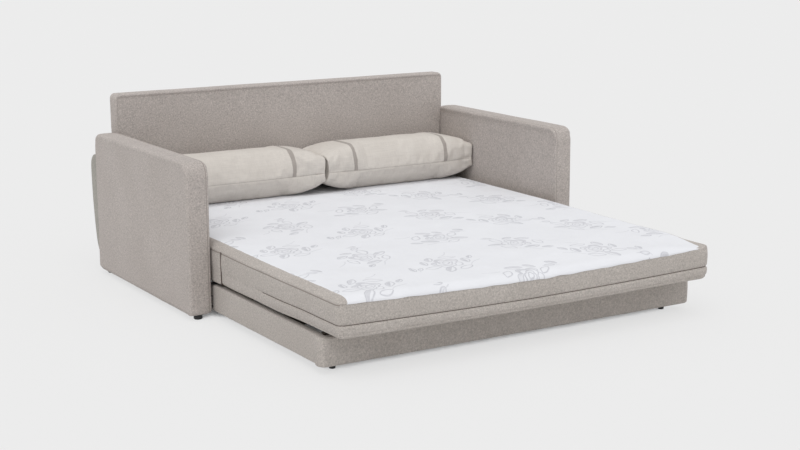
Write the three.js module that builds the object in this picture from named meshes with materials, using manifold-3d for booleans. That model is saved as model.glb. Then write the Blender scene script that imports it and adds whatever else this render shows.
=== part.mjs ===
// Pull-out sofa bed: two slim arms, a low back, a folding mattress and a bed base that slides out in front.
// Millimetres, +Z up. The front faces -Y and +X is on the right as seen from the front.
// The origin is on the floor, under the middle of the opened bed's box.
import * as THREE from 'three';
import { mergeVertices } from 'three/addons/utils/BufferGeometryUtils.js';
import Module from 'manifold-3d';

const wasm = await Module();
wasm.setup();

// Fits shared by all pieces
const touchGap = 0.3;
const cutOverrun = 20;
const sweepArcSteps = 3;
const edgeArcSteps = 3;
const slabArcSteps = 6;

// Arms
const overallWidth = 1900;
const armDepth = 1000;
const armHeight = 633;
const armThickness = 84;
const armCornerRadius = 45;
const armFootRadius = 20;
const armEdgeRound = 14;
const padWall = 14;
const glideHeight = 20;
const glideRadius = 18;
const glideInset = 28;
const glideFlare = 3;

// Timber frames inside the padding
const frameMember = 42;
const armFrameColumns = 4;
const armFrameRows = 3;
const backFrameColumns = 8;
const backFrameRows = 3;

// Back panel between the arms
const backHeight = 805;
const backThickness = 60;
const backBottom = 60;
const backSetIn = 43;
const backSideGap = 2;
const backCornerRadius = 20;
const backEdgeRound = 10;

// Padded body behind the arms and the back panel
const rearBodyDepth = 68;
const rearBodyTop = 540;
const rearBodyShoulder = 41;
const rearBodyBottom = 100;
const rearBodyLip = 6;
const rearBodyWaistShare = 0.5;
const rearBodyWaistDepthShare = 0.73;
const rearBodyCurveShare = 0.97;
const rearBodyTopShare = 0.9;
const rearBodyDropShare = 0.54;
const rearFrameSideGap = 66;
const rearFrameMargin = 19;
const rearFrameDepthShare = 0.67;
const rearFrameColumns = 9;

// Slatted deck: fixed slats and sliding slats lie between each other at one height
const deckHeight = 158;
const slatWidth = 80;
const slatSideGap = 46;
const slidingSlatThickness = 15;
const slidingClearance = 2;
const outerSlatPlace = 6;
const slatSideRound = 4;
const slatArcSteps = 1;

// Rails that carry the fixed slats
const rearRailDepth = 24;
const rearRailBottom = 60;
const crossbarDepth = 20;
const crossbarHeight = 41;
const crossbarEndGap = 7;
const bracketThickness = 3;
const bracketOverlap = 20;
const bracketUpstand = 60;

// Bed base that slides out
const baseSideGap = 17;
const baseBottom = 30;
const basePassGap = 3;
const basePanel = 40;
const baseSide = 30;
const baseCornerRadius = 24;
const baseEdgeRound = 5;
const baseRearRoom = 43;
const stopClearance = 6;
const baseRailDepth = 24;
const baseRailBottom = 45;
const cleatDepth = 23;
const cleatLift = 5;
const tieBottom = 45;
const tiePassGap = 8;
const tieShare = 0.5;
const cornerBlockLength = 84;
const cornerBlockDepth = 54;
const baseFootRadius = 14;
const baseFootTaper = 2.5;
const baseFootFromSide = 74;
const baseFootFromFront = 67;

// Rollers and the channels that they run in
const rollerRadius = 18;
const rollerWidth = 8;
const rollerChamfer = 1.5;
const rollerFromRear = 26;
const axleRadius = 4;
const axleCollarRadius = 8;
const boreClearance = 0.12;
const axleOverhang = 1.7;
const channelWall = 2;
const channelRunGap = 2.7;
const channelHeadroom = 3.7;
const channelBottom = 50;
const channelEndGap = 20;
const roundSteps = 24;

// Mattress in two sections that fold at the top
const mattressSideGap = 16;
const bedReach = 1044;
const foldAhead = 74;
const foldGap = 8;
const mattressThickness = 136;
const mattressCornerRadius = 30;
const mattressRearGap = 3;
const frontBow = 14;
const frontBowSteps = 8;
const slabEndShare = 0.25;
const shoulderWidth = 50;
const shoulderDrop = 16;
const bottomEdgeRound = 22;
const tickingThickness = 20;
const tickingEdgeRound = 30;
const tickingFrontInset = 14;
const tickingRearGap = 12;
const tickingFoldShare = 0.1;

// Bolster cushions
const bolsterDepth = 290;
const bolsterHeight = 222;
const bolsterRightGap = 3.5;
const bolsterLeftGap = 83.5;
const bolsterEndGap = 15;
const bolsterBackGap = 5;
const bolsterTaper = 105;
const bolsterEndDish = 14;
const bolsterMiddleSteps = 6;
const bolsterTaperSteps = 6;
const bolsterRoundSteps = 30;
const bolsterBaseShare = 0.985;
const bolsterEndHeightShare = 0.5;
const bolsterEndDepthShare = 0.93;
const bolsterSquareness = 2.3;

// Places worked out from the sizes above
const halfWidth = overallWidth / 2;
const armInnerX = halfWidth - armThickness;
const armCentreX = halfWidth - armThickness / 2;
const armFrontY = (bedReach - armDepth - rearBodyDepth) / 2;
const armRearY = armFrontY + armDepth;
const backFrontY = armRearY - backSetIn;
const backRearY = backFrontY + backThickness;
const backHalfWidth = armInnerX - backSideGap;
const foldY = armFrontY - foldAhead;
const bedFrontY = armFrontY - bedReach;
const mattressBottom = deckHeight + touchGap;
const mattressTop = mattressBottom + mattressThickness;
const tickingBottom = mattressTop + touchGap;
const tickingTop = tickingBottom + tickingThickness;
const mattressHalf = armInnerX - mattressSideGap;
const slatHalf = slatWidth / 2;
const slatPitch = (armInnerX - slatSideGap - slatHalf) / outerSlatPlace;
const slidingSlatBottom = deckHeight - slidingSlatThickness;
const crossbarTop = slidingSlatBottom - slidingClearance;
const crossbarBottom = crossbarTop - crossbarHeight;
const fixedSlatBottom = crossbarTop + bracketThickness;
const baseTop = crossbarTop - basePassGap;
const tieTop = crossbarBottom - tiePassGap;
const cleatBottom = crossbarBottom + cleatLift;
const baseHalf = armInnerX - baseSideGap;
const baseInnerX = baseHalf - baseSide;
const crossbarY = armFrontY;
const baseRailY = crossbarY + crossbarDepth + stopClearance;
const baseRearY = baseRailY + baseRailDepth;
const rearRailY = backFrontY - touchGap - rearRailDepth;
const baseTravel = rearRailY - baseRearRoom - baseRearY;
const cleatRearY = crossbarY - stopClearance - baseTravel;
const cleatFrontY = cleatRearY - cleatDepth;
const basePanelRearY = cleatFrontY - touchGap;
const baseFrontY = basePanelRearY - basePanel;
const channelOuterX = armInnerX - touchGap;
const channelInnerX = baseHalf + channelRunGap;
const rollerZ = channelBottom + channelWall + touchGap + rollerRadius;
const rollerY = baseRearY - rollerFromRear;
const rollerOuterX = channelOuterX - channelWall - axleOverhang - touchGap * 2;
const rollerInnerX = rollerOuterX - rollerWidth;
const rearBodyBulge = rearBodyTop - rearBodyShoulder;
const rearBodyWaist = THREE.MathUtils.lerp(rearBodyBottom, rearBodyBulge, rearBodyWaistShare);
const rearBodyRoom = rearBodyDepth * rearBodyWaistDepthShare - (backRearY - armRearY);
const rearFrameThickness = rearBodyRoom * rearFrameDepthShare;
const rearFrameHalfWidth = armInnerX - rearFrameSideGap;
const rearFrameTop = rearBodyBulge - rearFrameMargin;
const rearFrameBottom = rearBodyWaist;
const bolsterLength = (armInnerX * 2 - bolsterLeftGap - bolsterEndGap - bolsterRightGap) / 2;
const bolsterRightCentre = armInnerX - bolsterRightGap - bolsterLength / 2;
const bolsterLeftCentre = bolsterRightCentre - bolsterLength - bolsterEndGap;
const bolsterCentreY = backFrontY - bolsterBackGap - bolsterDepth / 2;
const bolsterBaseZ = tickingTop + touchGap;
const bolsterCentreZ = bolsterBaseZ + bolsterHeight * bolsterBaseShare - bolsterHeight / 2;

// Finishes
function finish(name, color, roughness, metalness) {
  const material = new THREE.MeshStandardMaterial({ color, roughness, metalness });
  material.name = name;
  return material;
}
const upholstery = finish('upholstery', 0xa8a19a, 0.95, 0);
const rearCloth = finish('rear_cloth', 0x8f8b84, 0.95, 0);
const ticking = finish('ticking', 0xe6e7ea, 0.85, 0);
const linen = finish('linen', 0xd2cbc3, 0.95, 0);
const timber = finish('timber', 0x9e8566, 0.7, 0);
const steel = finish('steel', 0x3a3a3c, 0.45, 0.9);
const zinc = finish('zinc', 0x333335, 0.4, 1);
const blackPlastic = finish('black_plastic', 0x151515, 0.5, 0);
const nylon = finish('nylon', 0x171717, 0.45, 0);

const sofaBed = new THREE.Group();
sofaBed.name = 'pull_out_sofa_bed';

function addPiece(name, geometry, material) {
  const mesh = new THREE.Mesh(geometry, material);
  mesh.name = name;
  sofaBed.add(mesh);
  return mesh;
}

// Joins and cuts
function toSolid(geometry) {
  const bare = geometry.clone();
  bare.deleteAttribute('normal');
  bare.deleteAttribute('uv');
  const merged = mergeVertices(bare);
  return new wasm.Manifold(new wasm.Mesh({
    numProp: 3,
    vertProperties: new Float32Array(merged.attributes.position.array),
    triVerts: new Uint32Array(merged.index.array),
  }));
}

function toGeometry(solid) {
  const mesh = solid.getMesh();
  const geometry = new THREE.BufferGeometry();
  geometry.setAttribute('position', new THREE.BufferAttribute(mesh.vertProperties, mesh.numProp));
  geometry.setIndex(new THREE.BufferAttribute(mesh.triVerts, 1));
  geometry.computeVertexNormals();
  return geometry;
}

function cut(geometry, ...tools) {
  let solid = toSolid(geometry);
  for (const tool of tools) {
    solid = solid.subtract(toSolid(tool));
  }
  return toGeometry(solid);
}

// A box between two corners
function block(x0, x1, y0, y1, z0, z1) {
  const geometry = new THREE.BoxGeometry(x1 - x0, y1 - y0, z1 - z0);
  geometry.translate((x0 + x1) / 2, (y0 + y1) / 2, (z0 + z1) / 2);
  return geometry;
}

// A rectangle whose corners are arcs, each pair with its own radius
function roundedOutline(u0, u1, v0, v1, lowRadius, highRadius) {
  const outline = new THREE.Shape();
  outline.moveTo(u0 + lowRadius, v0);
  outline.lineTo(u1 - lowRadius, v0);
  outline.absarc(u1 - lowRadius, v0 + lowRadius, lowRadius, -Math.PI / 2, 0, false);
  outline.lineTo(u1, v1 - highRadius);
  outline.absarc(u1 - highRadius, v1 - highRadius, highRadius, 0, Math.PI / 2, false);
  outline.lineTo(u0 + highRadius, v1);
  outline.absarc(u0 + highRadius, v1 - highRadius, highRadius, Math.PI / 2, Math.PI, false);
  outline.lineTo(u0, v0 + lowRadius);
  outline.absarc(u0 + lowRadius, v0 + lowRadius, lowRadius, Math.PI, Math.PI * 1.5, false);
  return outline;
}

function sweepOptions(length, edgeRound, arcSteps) {
  return {
    depth: length - edgeRound * 2,
    curveSegments: arcSteps,
    bevelEnabled: edgeRound > 0,
    bevelSize: edgeRound,
    bevelOffset: -edgeRound,
    bevelThickness: edgeRound,
    bevelSegments: edgeArcSteps,
  };
}

// A side view, drawn in Y and Z, swept from x0 to x1
function sweepAcross(outline, x0, x1, edgeRound = 0, arcSteps = sweepArcSteps) {
  const geometry = new THREE.ExtrudeGeometry(outline, sweepOptions(x1 - x0, edgeRound, arcSteps));
  geometry.applyMatrix4(new THREE.Matrix4().set(0, 0, 1, 0, 1, 0, 0, 0, 0, 1, 0, 0, 0, 0, 0, 1));
  geometry.translate(x0 + edgeRound, 0, 0);
  return geometry;
}

// A front view, drawn in X and Z, swept from y0 to y1
function sweepBack(outline, y0, y1, edgeRound = 0, arcSteps = sweepArcSteps) {
  const geometry = new THREE.ExtrudeGeometry(outline, sweepOptions(y1 - y0, edgeRound, arcSteps));
  geometry.rotateX(Math.PI / 2);
  geometry.translate(0, y1 - edgeRound, 0);
  return geometry;
}

// A plan view, drawn in X and Y, swept from z0 to z1
function sweepUp(outline, z0, z1, edgeRound = 0, arcSteps = sweepArcSteps) {
  const geometry = new THREE.ExtrudeGeometry(outline, sweepOptions(z1 - z0, edgeRound, arcSteps));
  geometry.translate(0, 0, z0 + edgeRound);
  return geometry;
}

// Places of the windows that leave a grid of posts and rails in a frame
function gridWindows(u0, u1, v0, v1, columns, rows) {
  const windowWidth = (u1 - u0 - frameMember * (columns + 1)) / columns;
  const windowHeight = (v1 - v0 - frameMember * (rows + 1)) / rows;
  const windows = [];
  for (let column = 0; column < columns; column++) {
    for (let row = 0; row < rows; row++) {
      const left = u0 + frameMember + column * (windowWidth + frameMember);
      const low = v0 + frameMember + row * (windowHeight + frameMember);
      windows.push([left, left + windowWidth, low, low + windowHeight]);
    }
  }
  return windows;
}

// A closed skin over rings with the same number of points, with a centre point on each end
function skinRings(rings, startCentre, endCentre) {
  const count = rings[0].length;
  const points = [];
  for (const ring of rings) {
    for (const point of ring) {
      points.push(point.x, point.y, point.z);
    }
  }
  const start = points.length / 3;
  points.push(startCentre.x, startCentre.y, startCentre.z, endCentre.x, endCentre.y, endCentre.z);
  const faces = [];
  for (let i = 0; i < count; i++) {
    const next = (i + 1) % count;
    faces.push(start, next, i);
    for (let level = 0; level < rings.length - 1; level++) {
      const low = level * count;
      const high = low + count;
      faces.push(low + i, low + next, high + next, low + i, high + next, high + i);
    }
    const last = (rings.length - 1) * count;
    faces.push(start + 1, last + i, last + next);
  }
  const geometry = new THREE.BufferGeometry();
  geometry.setAttribute('position', new THREE.Float32BufferAttribute(points, 3));
  geometry.setIndex(faces);
  geometry.computeVertexNormals();
  return geometry;
}

// Arms: a padded cover over a timber frame, on two glides
function buildArm(sideName, side) {
  const outerX = side * halfWidth;
  const innerX = side * armInnerX;
  const lowX = Math.min(outerX, innerX);
  const highX = Math.max(outerX, innerX);
  const skin = sweepAcross(
    roundedOutline(armFrontY, armRearY, glideHeight, armHeight, armFootRadius, armCornerRadius),
    lowX, highX, armEdgeRound);
  const roomTop = armHeight - padWall;
  const roomRadius = armCornerRadius - padWall;
  const frontY = armFrontY + padWall;
  const rearY = armRearY - padWall;
  const room = sweepAcross(
    roundedOutline(frontY, rearY, glideHeight - cutOverrun, roomTop, touchGap, roomRadius),
    lowX + padWall, highX - padWall);
  addPiece(`${sideName}_arm_cover`, cut(skin, room), upholstery);

  const frameTop = roomTop - touchGap;
  const frameLowX = lowX + padWall + touchGap;
  const frameHighX = highX - padWall - touchGap;
  const frame = sweepAcross(
    roundedOutline(frontY + touchGap, rearY - touchGap, glideHeight, frameTop, touchGap, roomRadius),
    frameLowX, frameHighX);
  const windows = gridWindows(frontY, rearY, glideHeight, frameTop, armFrameColumns, armFrameRows);
  const panes = windows.map(([y0, y1, z0, z1]) =>
    block(frameLowX - cutOverrun, frameHighX + cutOverrun, y0, y1, z0, z1));
  addPiece(`${sideName}_arm_frame`, cut(frame, ...panes), timber);

  buildGlide(`${sideName}_front_glide`, side * armCentreX, armFrontY + glideInset);
  buildGlide(`${sideName}_rear_glide`, side * armCentreX, armRearY - glideInset);
}

function buildGlide(name, x, y) {
  const profile = [
    new THREE.Vector2(0, 0),
    new THREE.Vector2(glideRadius - glideFlare, 0),
    new THREE.Vector2(glideRadius, glideFlare),
    new THREE.Vector2(glideRadius, glideHeight - touchGap),
    new THREE.Vector2(0, glideHeight - touchGap),
  ];
  const geometry = new THREE.LatheGeometry(profile, roundSteps);
  geometry.rotateX(Math.PI / 2);
  geometry.translate(x, y, 0);
  addPiece(name, geometry, blackPlastic);
}

// Back panel: a padded cover over a timber frame, between the arms
function buildBackPanel() {
  const skin = sweepBack(
    roundedOutline(
      -backHalfWidth, backHalfWidth, backBottom, backHeight, backCornerRadius, backCornerRadius),
    backFrontY, backRearY, backEdgeRound);
  const roomHalf = backHalfWidth - padWall;
  const roomTop = backHeight - padWall;
  const roomRadius = backCornerRadius - padWall;
  const room = sweepBack(
    roundedOutline(-roomHalf, roomHalf, backBottom - cutOverrun, roomTop, roomRadius, roomRadius),
    backFrontY + padWall, backRearY - padWall);
  addPiece('back_panel_cover', cut(skin, room), upholstery);

  const frameHalf = roomHalf - touchGap;
  const frameTop = roomTop - touchGap;
  const frame = sweepBack(
    roundedOutline(-frameHalf, frameHalf, backBottom, frameTop, touchGap, roomRadius),
    backFrontY + padWall + touchGap, backRearY - padWall - touchGap);
  const windows = gridWindows(-frameHalf, frameHalf, backBottom, frameTop, backFrameColumns, backFrameRows);
  const panes = windows.map(([x0, x1, z0, z1]) =>
    block(x0, x1, backFrontY - cutOverrun, backRearY + cutOverrun, z0, z1));
  addPiece('back_panel_frame', cut(frame, ...panes), timber);
}

// Rear body: its back is nearly upright at the top and curves in towards the floor
function buildRearBody() {
  const frontY = armRearY + touchGap;
  const rearY = armRearY + rearBodyDepth;
  const outline = new THREE.Shape();
  outline.moveTo(frontY, rearBodyBottom);
  outline.lineTo(frontY + rearBodyLip, rearBodyBottom);
  outline.quadraticCurveTo(
    armRearY + rearBodyDepth * rearBodyCurveShare, rearBodyWaist, rearY, rearBodyBulge);
  outline.quadraticCurveTo(
    armRearY + rearBodyDepth * rearBodyTopShare, rearBodyTop - rearBodyShoulder * rearBodyDropShare,
    frontY, rearBodyTop);
  const body = sweepAcross(outline, -halfWidth, halfWidth);
  const notchRearY = backRearY + touchGap;
  const notch = block(
    -armInnerX, armInnerX, armRearY - cutOverrun, notchRearY,
    rearBodyBottom - cutOverrun, rearBodyTop + cutOverrun);
  const recess = block(
    -rearFrameHalfWidth - touchGap, rearFrameHalfWidth + touchGap,
    notchRearY - cutOverrun, notchRearY + rearFrameThickness,
    rearFrameBottom - touchGap, rearFrameTop + touchGap);
  addPiece('rear_body_cover', cut(body, notch, recess), rearCloth);

  const frameRearY = notchRearY + rearFrameThickness - touchGap;
  const frame = block(
    -rearFrameHalfWidth, rearFrameHalfWidth, notchRearY, frameRearY, rearFrameBottom, rearFrameTop);
  const windows = gridWindows(
    -rearFrameHalfWidth, rearFrameHalfWidth, rearFrameBottom, rearFrameTop, rearFrameColumns, 1);
  const panes = windows.map(([x0, x1, z0, z1]) =>
    block(x0, x1, notchRearY - cutOverrun, frameRearY + cutOverrun, z0, z1));
  addPiece('rear_body_frame', cut(frame, ...panes), timber);
}

// Rails that join the arms and carry the fixed slats
function buildRails() {
  addPiece('rear_rail', block(
    -armInnerX + touchGap, armInnerX - touchGap,
    rearRailY, rearRailY + rearRailDepth,
    rearRailBottom, fixedSlatBottom - touchGap), timber);

  const barHalf = baseInnerX - crossbarEndGap;
  const bar = new THREE.Shape();
  bar.moveTo(-barHalf, crossbarBottom);
  bar.lineTo(barHalf, crossbarBottom);
  bar.lineTo(barHalf, crossbarTop);
  for (let place = outerSlatPlace - 2; place > -outerSlatPlace; place -= 2) {
    const centre = place * slatPitch;
    bar.lineTo(centre + slatHalf, crossbarTop);
    bar.lineTo(centre + slatHalf, fixedSlatBottom - touchGap);
    bar.lineTo(centre - slatHalf, fixedSlatBottom - touchGap);
    bar.lineTo(centre - slatHalf, crossbarTop);
  }
  bar.lineTo(-barHalf, crossbarTop);
  addPiece('front_crossbar', sweepBack(bar, crossbarY, crossbarY + crossbarDepth), timber);

  for (const [sideName, side] of [['left', -1], ['right', 1]]) {
    const innerX = outerSlatPlace * slatPitch - slatHalf - bracketOverlap;
    const outerX = armInnerX - touchGap;
    const low = crossbarTop + touchGap;
    const high = fixedSlatBottom - touchGap;
    const bracket = new THREE.Shape();
    bracket.moveTo(side * innerX, low);
    bracket.lineTo(side * outerX, low);
    bracket.lineTo(side * outerX, low + bracketUpstand);
    bracket.lineTo(side * (outerX - bracketThickness), low + bracketUpstand);
    bracket.lineTo(side * (outerX - bracketThickness), high);
    bracket.lineTo(side * innerX, high);
    addPiece(`${sideName}_crossbar_bracket`,
      sweepBack(bracket, crossbarY, crossbarY + crossbarDepth), steel);
  }
}

function slat(place, y0, y1, z0) {
  const centre = place * slatPitch;
  const outline = roundedOutline(
    centre - slatHalf, centre + slatHalf, z0, deckHeight, slatSideRound, slatSideRound);
  return sweepBack(outline, y0, y1, 0, slatArcSteps);
}

function buildFixedSlats() {
  let number = 1;
  for (let place = -outerSlatPlace; place <= outerSlatPlace; place += 2) {
    addPiece(`fixed_slat_${number}`, slat(place, crossbarY, backFrontY - touchGap, fixedSlatBottom), timber);
    number += 1;
  }
}

// Channels on the arms for the rollers of the bed base
function buildChannels() {
  const top = rollerZ + rollerRadius + channelHeadroom + channelWall;
  for (const [sideName, side] of [['left', -1], ['right', 1]]) {
    const outline = new THREE.Shape();
    outline.moveTo(side * channelInnerX, channelBottom);
    outline.lineTo(side * channelOuterX, channelBottom);
    outline.lineTo(side * channelOuterX, top);
    outline.lineTo(side * channelInnerX, top);
    outline.lineTo(side * channelInnerX, top - channelWall);
    outline.lineTo(side * (channelOuterX - channelWall), top - channelWall);
    outline.lineTo(side * (channelOuterX - channelWall), channelBottom + channelWall);
    outline.lineTo(side * channelInnerX, channelBottom + channelWall);
    const endY = rollerY + baseTravel + rollerRadius + channelEndGap;
    addPiece(`${sideName}_channel`, sweepBack(outline, armFrontY, endY), steel);
  }
}

// Bed base: an upholstered front and sides, rails inside, sliding slats on top
function buildBaseFrame() {
  const panel = new THREE.Shape();
  panel.moveTo(-baseHalf, basePanelRearY);
  panel.lineTo(-baseHalf, baseFrontY + baseCornerRadius);
  panel.absarc(-baseHalf + baseCornerRadius, baseFrontY + baseCornerRadius, baseCornerRadius,
    Math.PI, Math.PI * 1.5, false);
  panel.lineTo(baseHalf - baseCornerRadius, baseFrontY);
  panel.absarc(baseHalf - baseCornerRadius, baseFrontY + baseCornerRadius, baseCornerRadius,
    -Math.PI / 2, 0, false);
  panel.lineTo(baseHalf, basePanelRearY);
  addPiece('base_front', sweepUp(panel, baseBottom, baseTop, baseEdgeRound), upholstery);

  for (const [sideName, side] of [['left', -1], ['right', 1]]) {
    const lowX = Math.min(side * baseHalf, side * baseInnerX);
    const board = roundedOutline(lowX, lowX + baseSide, baseBottom, baseTop, baseEdgeRound, baseEdgeRound);
    addPiece(`base_${sideName}_side`, sweepBack(board, basePanelRearY + touchGap, baseRearY), upholstery);
    buildBaseCorner(sideName, side);
  }

  const inside = baseInnerX - touchGap;
  addPiece('base_front_cleat', block(
    -inside, inside, cleatFrontY, cleatRearY,
    cleatBottom, slidingSlatBottom - touchGap), timber);
  addPiece('base_rear_rail', block(
    -inside, inside, baseRailY, baseRearY, baseRailBottom, slidingSlatBottom - touchGap), timber);
  const tieY = THREE.MathUtils.lerp(basePanelRearY, baseRailY, tieShare);
  addPiece('base_tie', block(-inside, inside, tieY, tieY + baseRailDepth, tieBottom, tieTop), timber);
}

function buildBaseCorner(sideName, side) {
  const outerX = side * (baseInnerX - touchGap);
  const innerX = outerX - side * cornerBlockLength;
  addPiece(`base_${sideName}_corner_block`, block(
    Math.min(outerX, innerX), Math.max(outerX, innerX), cleatFrontY, cleatFrontY + cornerBlockDepth,
    baseBottom, tieTop), timber);

  const foot = new THREE.CylinderGeometry(
    baseFootRadius, baseFootRadius - baseFootTaper, baseBottom - touchGap, roundSteps);
  foot.rotateX(Math.PI / 2);
  foot.translate(
    side * (baseHalf - baseFootFromSide), baseFrontY + baseFootFromFront, (baseBottom - touchGap) / 2);
  addPiece(`base_${sideName}_foot`, foot, blackPlastic);
}

function buildSlidingSlats() {
  let number = 1;
  for (let place = 1 - outerSlatPlace; place < outerSlatPlace; place += 2) {
    addPiece(`sliding_slat_${number}`, slat(place, cleatFrontY, baseRearY, slidingSlatBottom), timber);
    number += 1;
  }
}

// Rollers at the rear of the bed base, each on its own axle
function buildRollers() {
  for (const [sideName, side] of [['left', -1], ['right', 1]]) {
    const axleFoot = baseHalf + touchGap;
    const collarEnd = rollerInnerX - touchGap;
    const axleEnd = rollerOuterX + axleOverhang;
    const axle = [
      new THREE.Vector2(0, axleFoot),
      new THREE.Vector2(axleCollarRadius, axleFoot),
      new THREE.Vector2(axleCollarRadius, collarEnd),
      new THREE.Vector2(axleRadius, collarEnd),
      new THREE.Vector2(axleRadius, axleEnd),
      new THREE.Vector2(0, axleEnd),
    ];
    addPiece(`${sideName}_roller_axle`, turnedAcross(axle, side), zinc);

    const bore = axleRadius + boreClearance;
    const roller = [
      new THREE.Vector2(bore, rollerInnerX),
      new THREE.Vector2(rollerRadius - rollerChamfer, rollerInnerX),
      new THREE.Vector2(rollerRadius, rollerInnerX + rollerChamfer),
      new THREE.Vector2(rollerRadius, rollerOuterX - rollerChamfer),
      new THREE.Vector2(rollerRadius - rollerChamfer, rollerOuterX),
      new THREE.Vector2(bore, rollerOuterX),
      new THREE.Vector2(bore, rollerInnerX),
    ];
    addPiece(`${sideName}_roller`, turnedAcross(roller, side), nylon);
  }
}

// A turned piece whose axis lies across the sofa, on the left or the right side
function turnedAcross(profile, side) {
  const geometry = new THREE.LatheGeometry(profile, roundSteps);
  geometry.rotateZ(-Math.PI / 2 * side);
  geometry.translate(0, rollerY, rollerZ);
  return geometry;
}

// Plan outline of a padded slab: arcs at the corners and a bowed front edge
function slabRing(halfAcross, frontY, rearY, frontRadius, rearRadius, bow, z) {
  const ring = [];
  const corners = [
    [halfAcross - rearRadius, rearY - rearRadius, rearRadius, 0],
    [-halfAcross + rearRadius, rearY - rearRadius, rearRadius, Math.PI / 2],
    [-halfAcross + frontRadius, frontY + frontRadius, frontRadius, Math.PI],
  ];
  for (const [x, y, radius, from] of corners) {
    addArc(ring, x, y, radius, from, z);
  }
  const straight = halfAcross - frontRadius;
  for (let step = 1; step < frontBowSteps; step++) {
    const share = step * 2 / frontBowSteps - 1;
    ring.push(new THREE.Vector3(straight * share, frontY - bow * (1 - share * share), z));
  }
  addArc(ring, straight, frontY + frontRadius, frontRadius, Math.PI * 1.5, z);
  return ring;
}

function addArc(ring, x, y, radius, from, z) {
  for (let step = 0; step <= slabArcSteps; step++) {
    const angle = from + step * Math.PI / 2 / slabArcSteps;
    ring.push(new THREE.Vector3(x + radius * Math.cos(angle), y + radius * Math.sin(angle), z));
  }
}

// Inset and height at each level, as shares of the edge's width and height
const lowEdgeShares = [[1, 0], [0.3, 0.3], [0, 1]];
const shoulderShares = [[0, 1.6], [0.08, 1], [0.45, 0.3], [1, 0]];
const tickingEdgeShares = [[0, 0], [0, 0.35], [0.3, 0.75], [1, 1]];

// Mattress section: rounded under its edges, with shoulders that slope up to the ticking
function mattressSection(frontY, rearY, frontRadius, rearRadius, bow) {
  const levels = [];
  for (const [insetShare, riseShare] of lowEdgeShares) {
    levels.push({ inset: bottomEdgeRound * insetShare, z: mattressBottom + bottomEdgeRound * riseShare });
  }
  for (const [insetShare, dropShare] of shoulderShares) {
    levels.push({ inset: shoulderWidth * insetShare, z: mattressTop - shoulderDrop * dropShare });
  }
  const rings = levels.map(({ inset, z }) => {
    const endInset = inset * slabEndShare;
    return slabRing(mattressHalf - inset, frontY + bow + endInset, rearY - endInset,
      frontRadius - endInset * (bow > 0 ? 1 : 0), rearRadius - endInset * (bow > 0 ? 0 : 1), bow, z);
  });
  const middleY = (frontY + rearY) / 2;
  return skinRings(rings,
    new THREE.Vector3(0, middleY, mattressBottom), new THREE.Vector3(0, middleY, mattressTop));
}

// Ticking: a quilted top that rises from its edges to a level crown
function tickingPad(frontY, rearY, frontRadius, rearRadius, bow) {
  const frontShare = bow > 0 ? 1 : tickingFoldShare;
  const rearShare = bow > 0 ? tickingFoldShare : 1;
  const rings = tickingEdgeShares.map(([insetShare, riseShare]) => {
    const inset = tickingEdgeRound * insetShare;
    return slabRing(mattressHalf - shoulderWidth - inset,
      frontY + bow + inset * frontShare, rearY - inset * rearShare,
      frontRadius, rearRadius, bow, tickingBottom + tickingThickness * riseShare);
  });
  const middleY = (frontY + rearY) / 2;
  return skinRings(rings,
    new THREE.Vector3(0, middleY, tickingBottom), new THREE.Vector3(0, middleY, tickingTop));
}

function buildMattress() {
  const foldRadius = bottomEdgeRound / 2;
  const rearFoldY = foldY + foldGap / 2;
  const frontFoldY = foldY - foldGap / 2;
  const rearEndY = backFrontY - mattressRearGap;
  addPiece('rear_mattress',
    mattressSection(rearFoldY, rearEndY, foldRadius, mattressCornerRadius, 0), upholstery);
  addPiece('front_mattress',
    mattressSection(bedFrontY, frontFoldY, mattressCornerRadius, foldRadius, frontBow), upholstery);
  addPiece('rear_ticking',
    tickingPad(rearFoldY, rearEndY - tickingRearGap, foldRadius, mattressCornerRadius, 0), ticking);
  addPiece('front_ticking', tickingPad(bedFrontY + tickingFrontInset, frontFoldY,
    mattressCornerRadius, foldRadius, frontBow), ticking);
}

// Bolster: an oval section, level where it lies on the bed, drawn in towards two dished ends
function bolsterRing(x, heightShare, depthShare) {
  const power = 2 / bolsterSquareness;
  const ring = [];
  for (let step = 0; step < bolsterRoundSteps; step++) {
    const angle = step * 2 * Math.PI / bolsterRoundSteps;
    const across = Math.cos(angle);
    const up = Math.sin(angle);
    const dy = Math.sign(across) * Math.abs(across) ** power * bolsterDepth / 2 * depthShare;
    const dz = Math.sign(up) * Math.abs(up) ** power * bolsterHeight / 2 * heightShare;
    ring.push(new THREE.Vector3(x, bolsterCentreY + dy, Math.max(bolsterCentreZ + dz, bolsterBaseZ)));
  }
  return ring;
}

function bolster(centreX) {
  const half = bolsterLength / 2;
  const middle = half - bolsterTaper;
  const endStations = [];
  for (let step = 0; step <= bolsterTaperSteps; step++) {
    const angle = step / bolsterTaperSteps * Math.PI / 2;
    const full = Math.sin(angle);
    endStations.push({
      outward: half - (1 - Math.cos(angle)) * bolsterTaper,
      heightShare: THREE.MathUtils.lerp(bolsterEndHeightShare, 1, full),
      depthShare: THREE.MathUtils.lerp(bolsterEndDepthShare, 1, full),
    });
  }
  const rings = [];
  for (const { outward, heightShare, depthShare } of endStations) {
    rings.push(bolsterRing(centreX - outward, heightShare, depthShare));
  }
  for (let step = 1; step < bolsterMiddleSteps; step++) {
    const x = THREE.MathUtils.lerp(-middle, middle, step / bolsterMiddleSteps);
    rings.push(bolsterRing(centreX + x, 1, 1));
  }
  for (const { outward, heightShare, depthShare } of endStations.reverse()) {
    rings.push(bolsterRing(centreX + outward, heightShare, depthShare));
  }
  const dishX = half - bolsterEndDish;
  return skinRings(rings,
    new THREE.Vector3(centreX - dishX, bolsterCentreY, bolsterCentreZ),
    new THREE.Vector3(centreX + dishX, bolsterCentreY, bolsterCentreZ));
}

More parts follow.
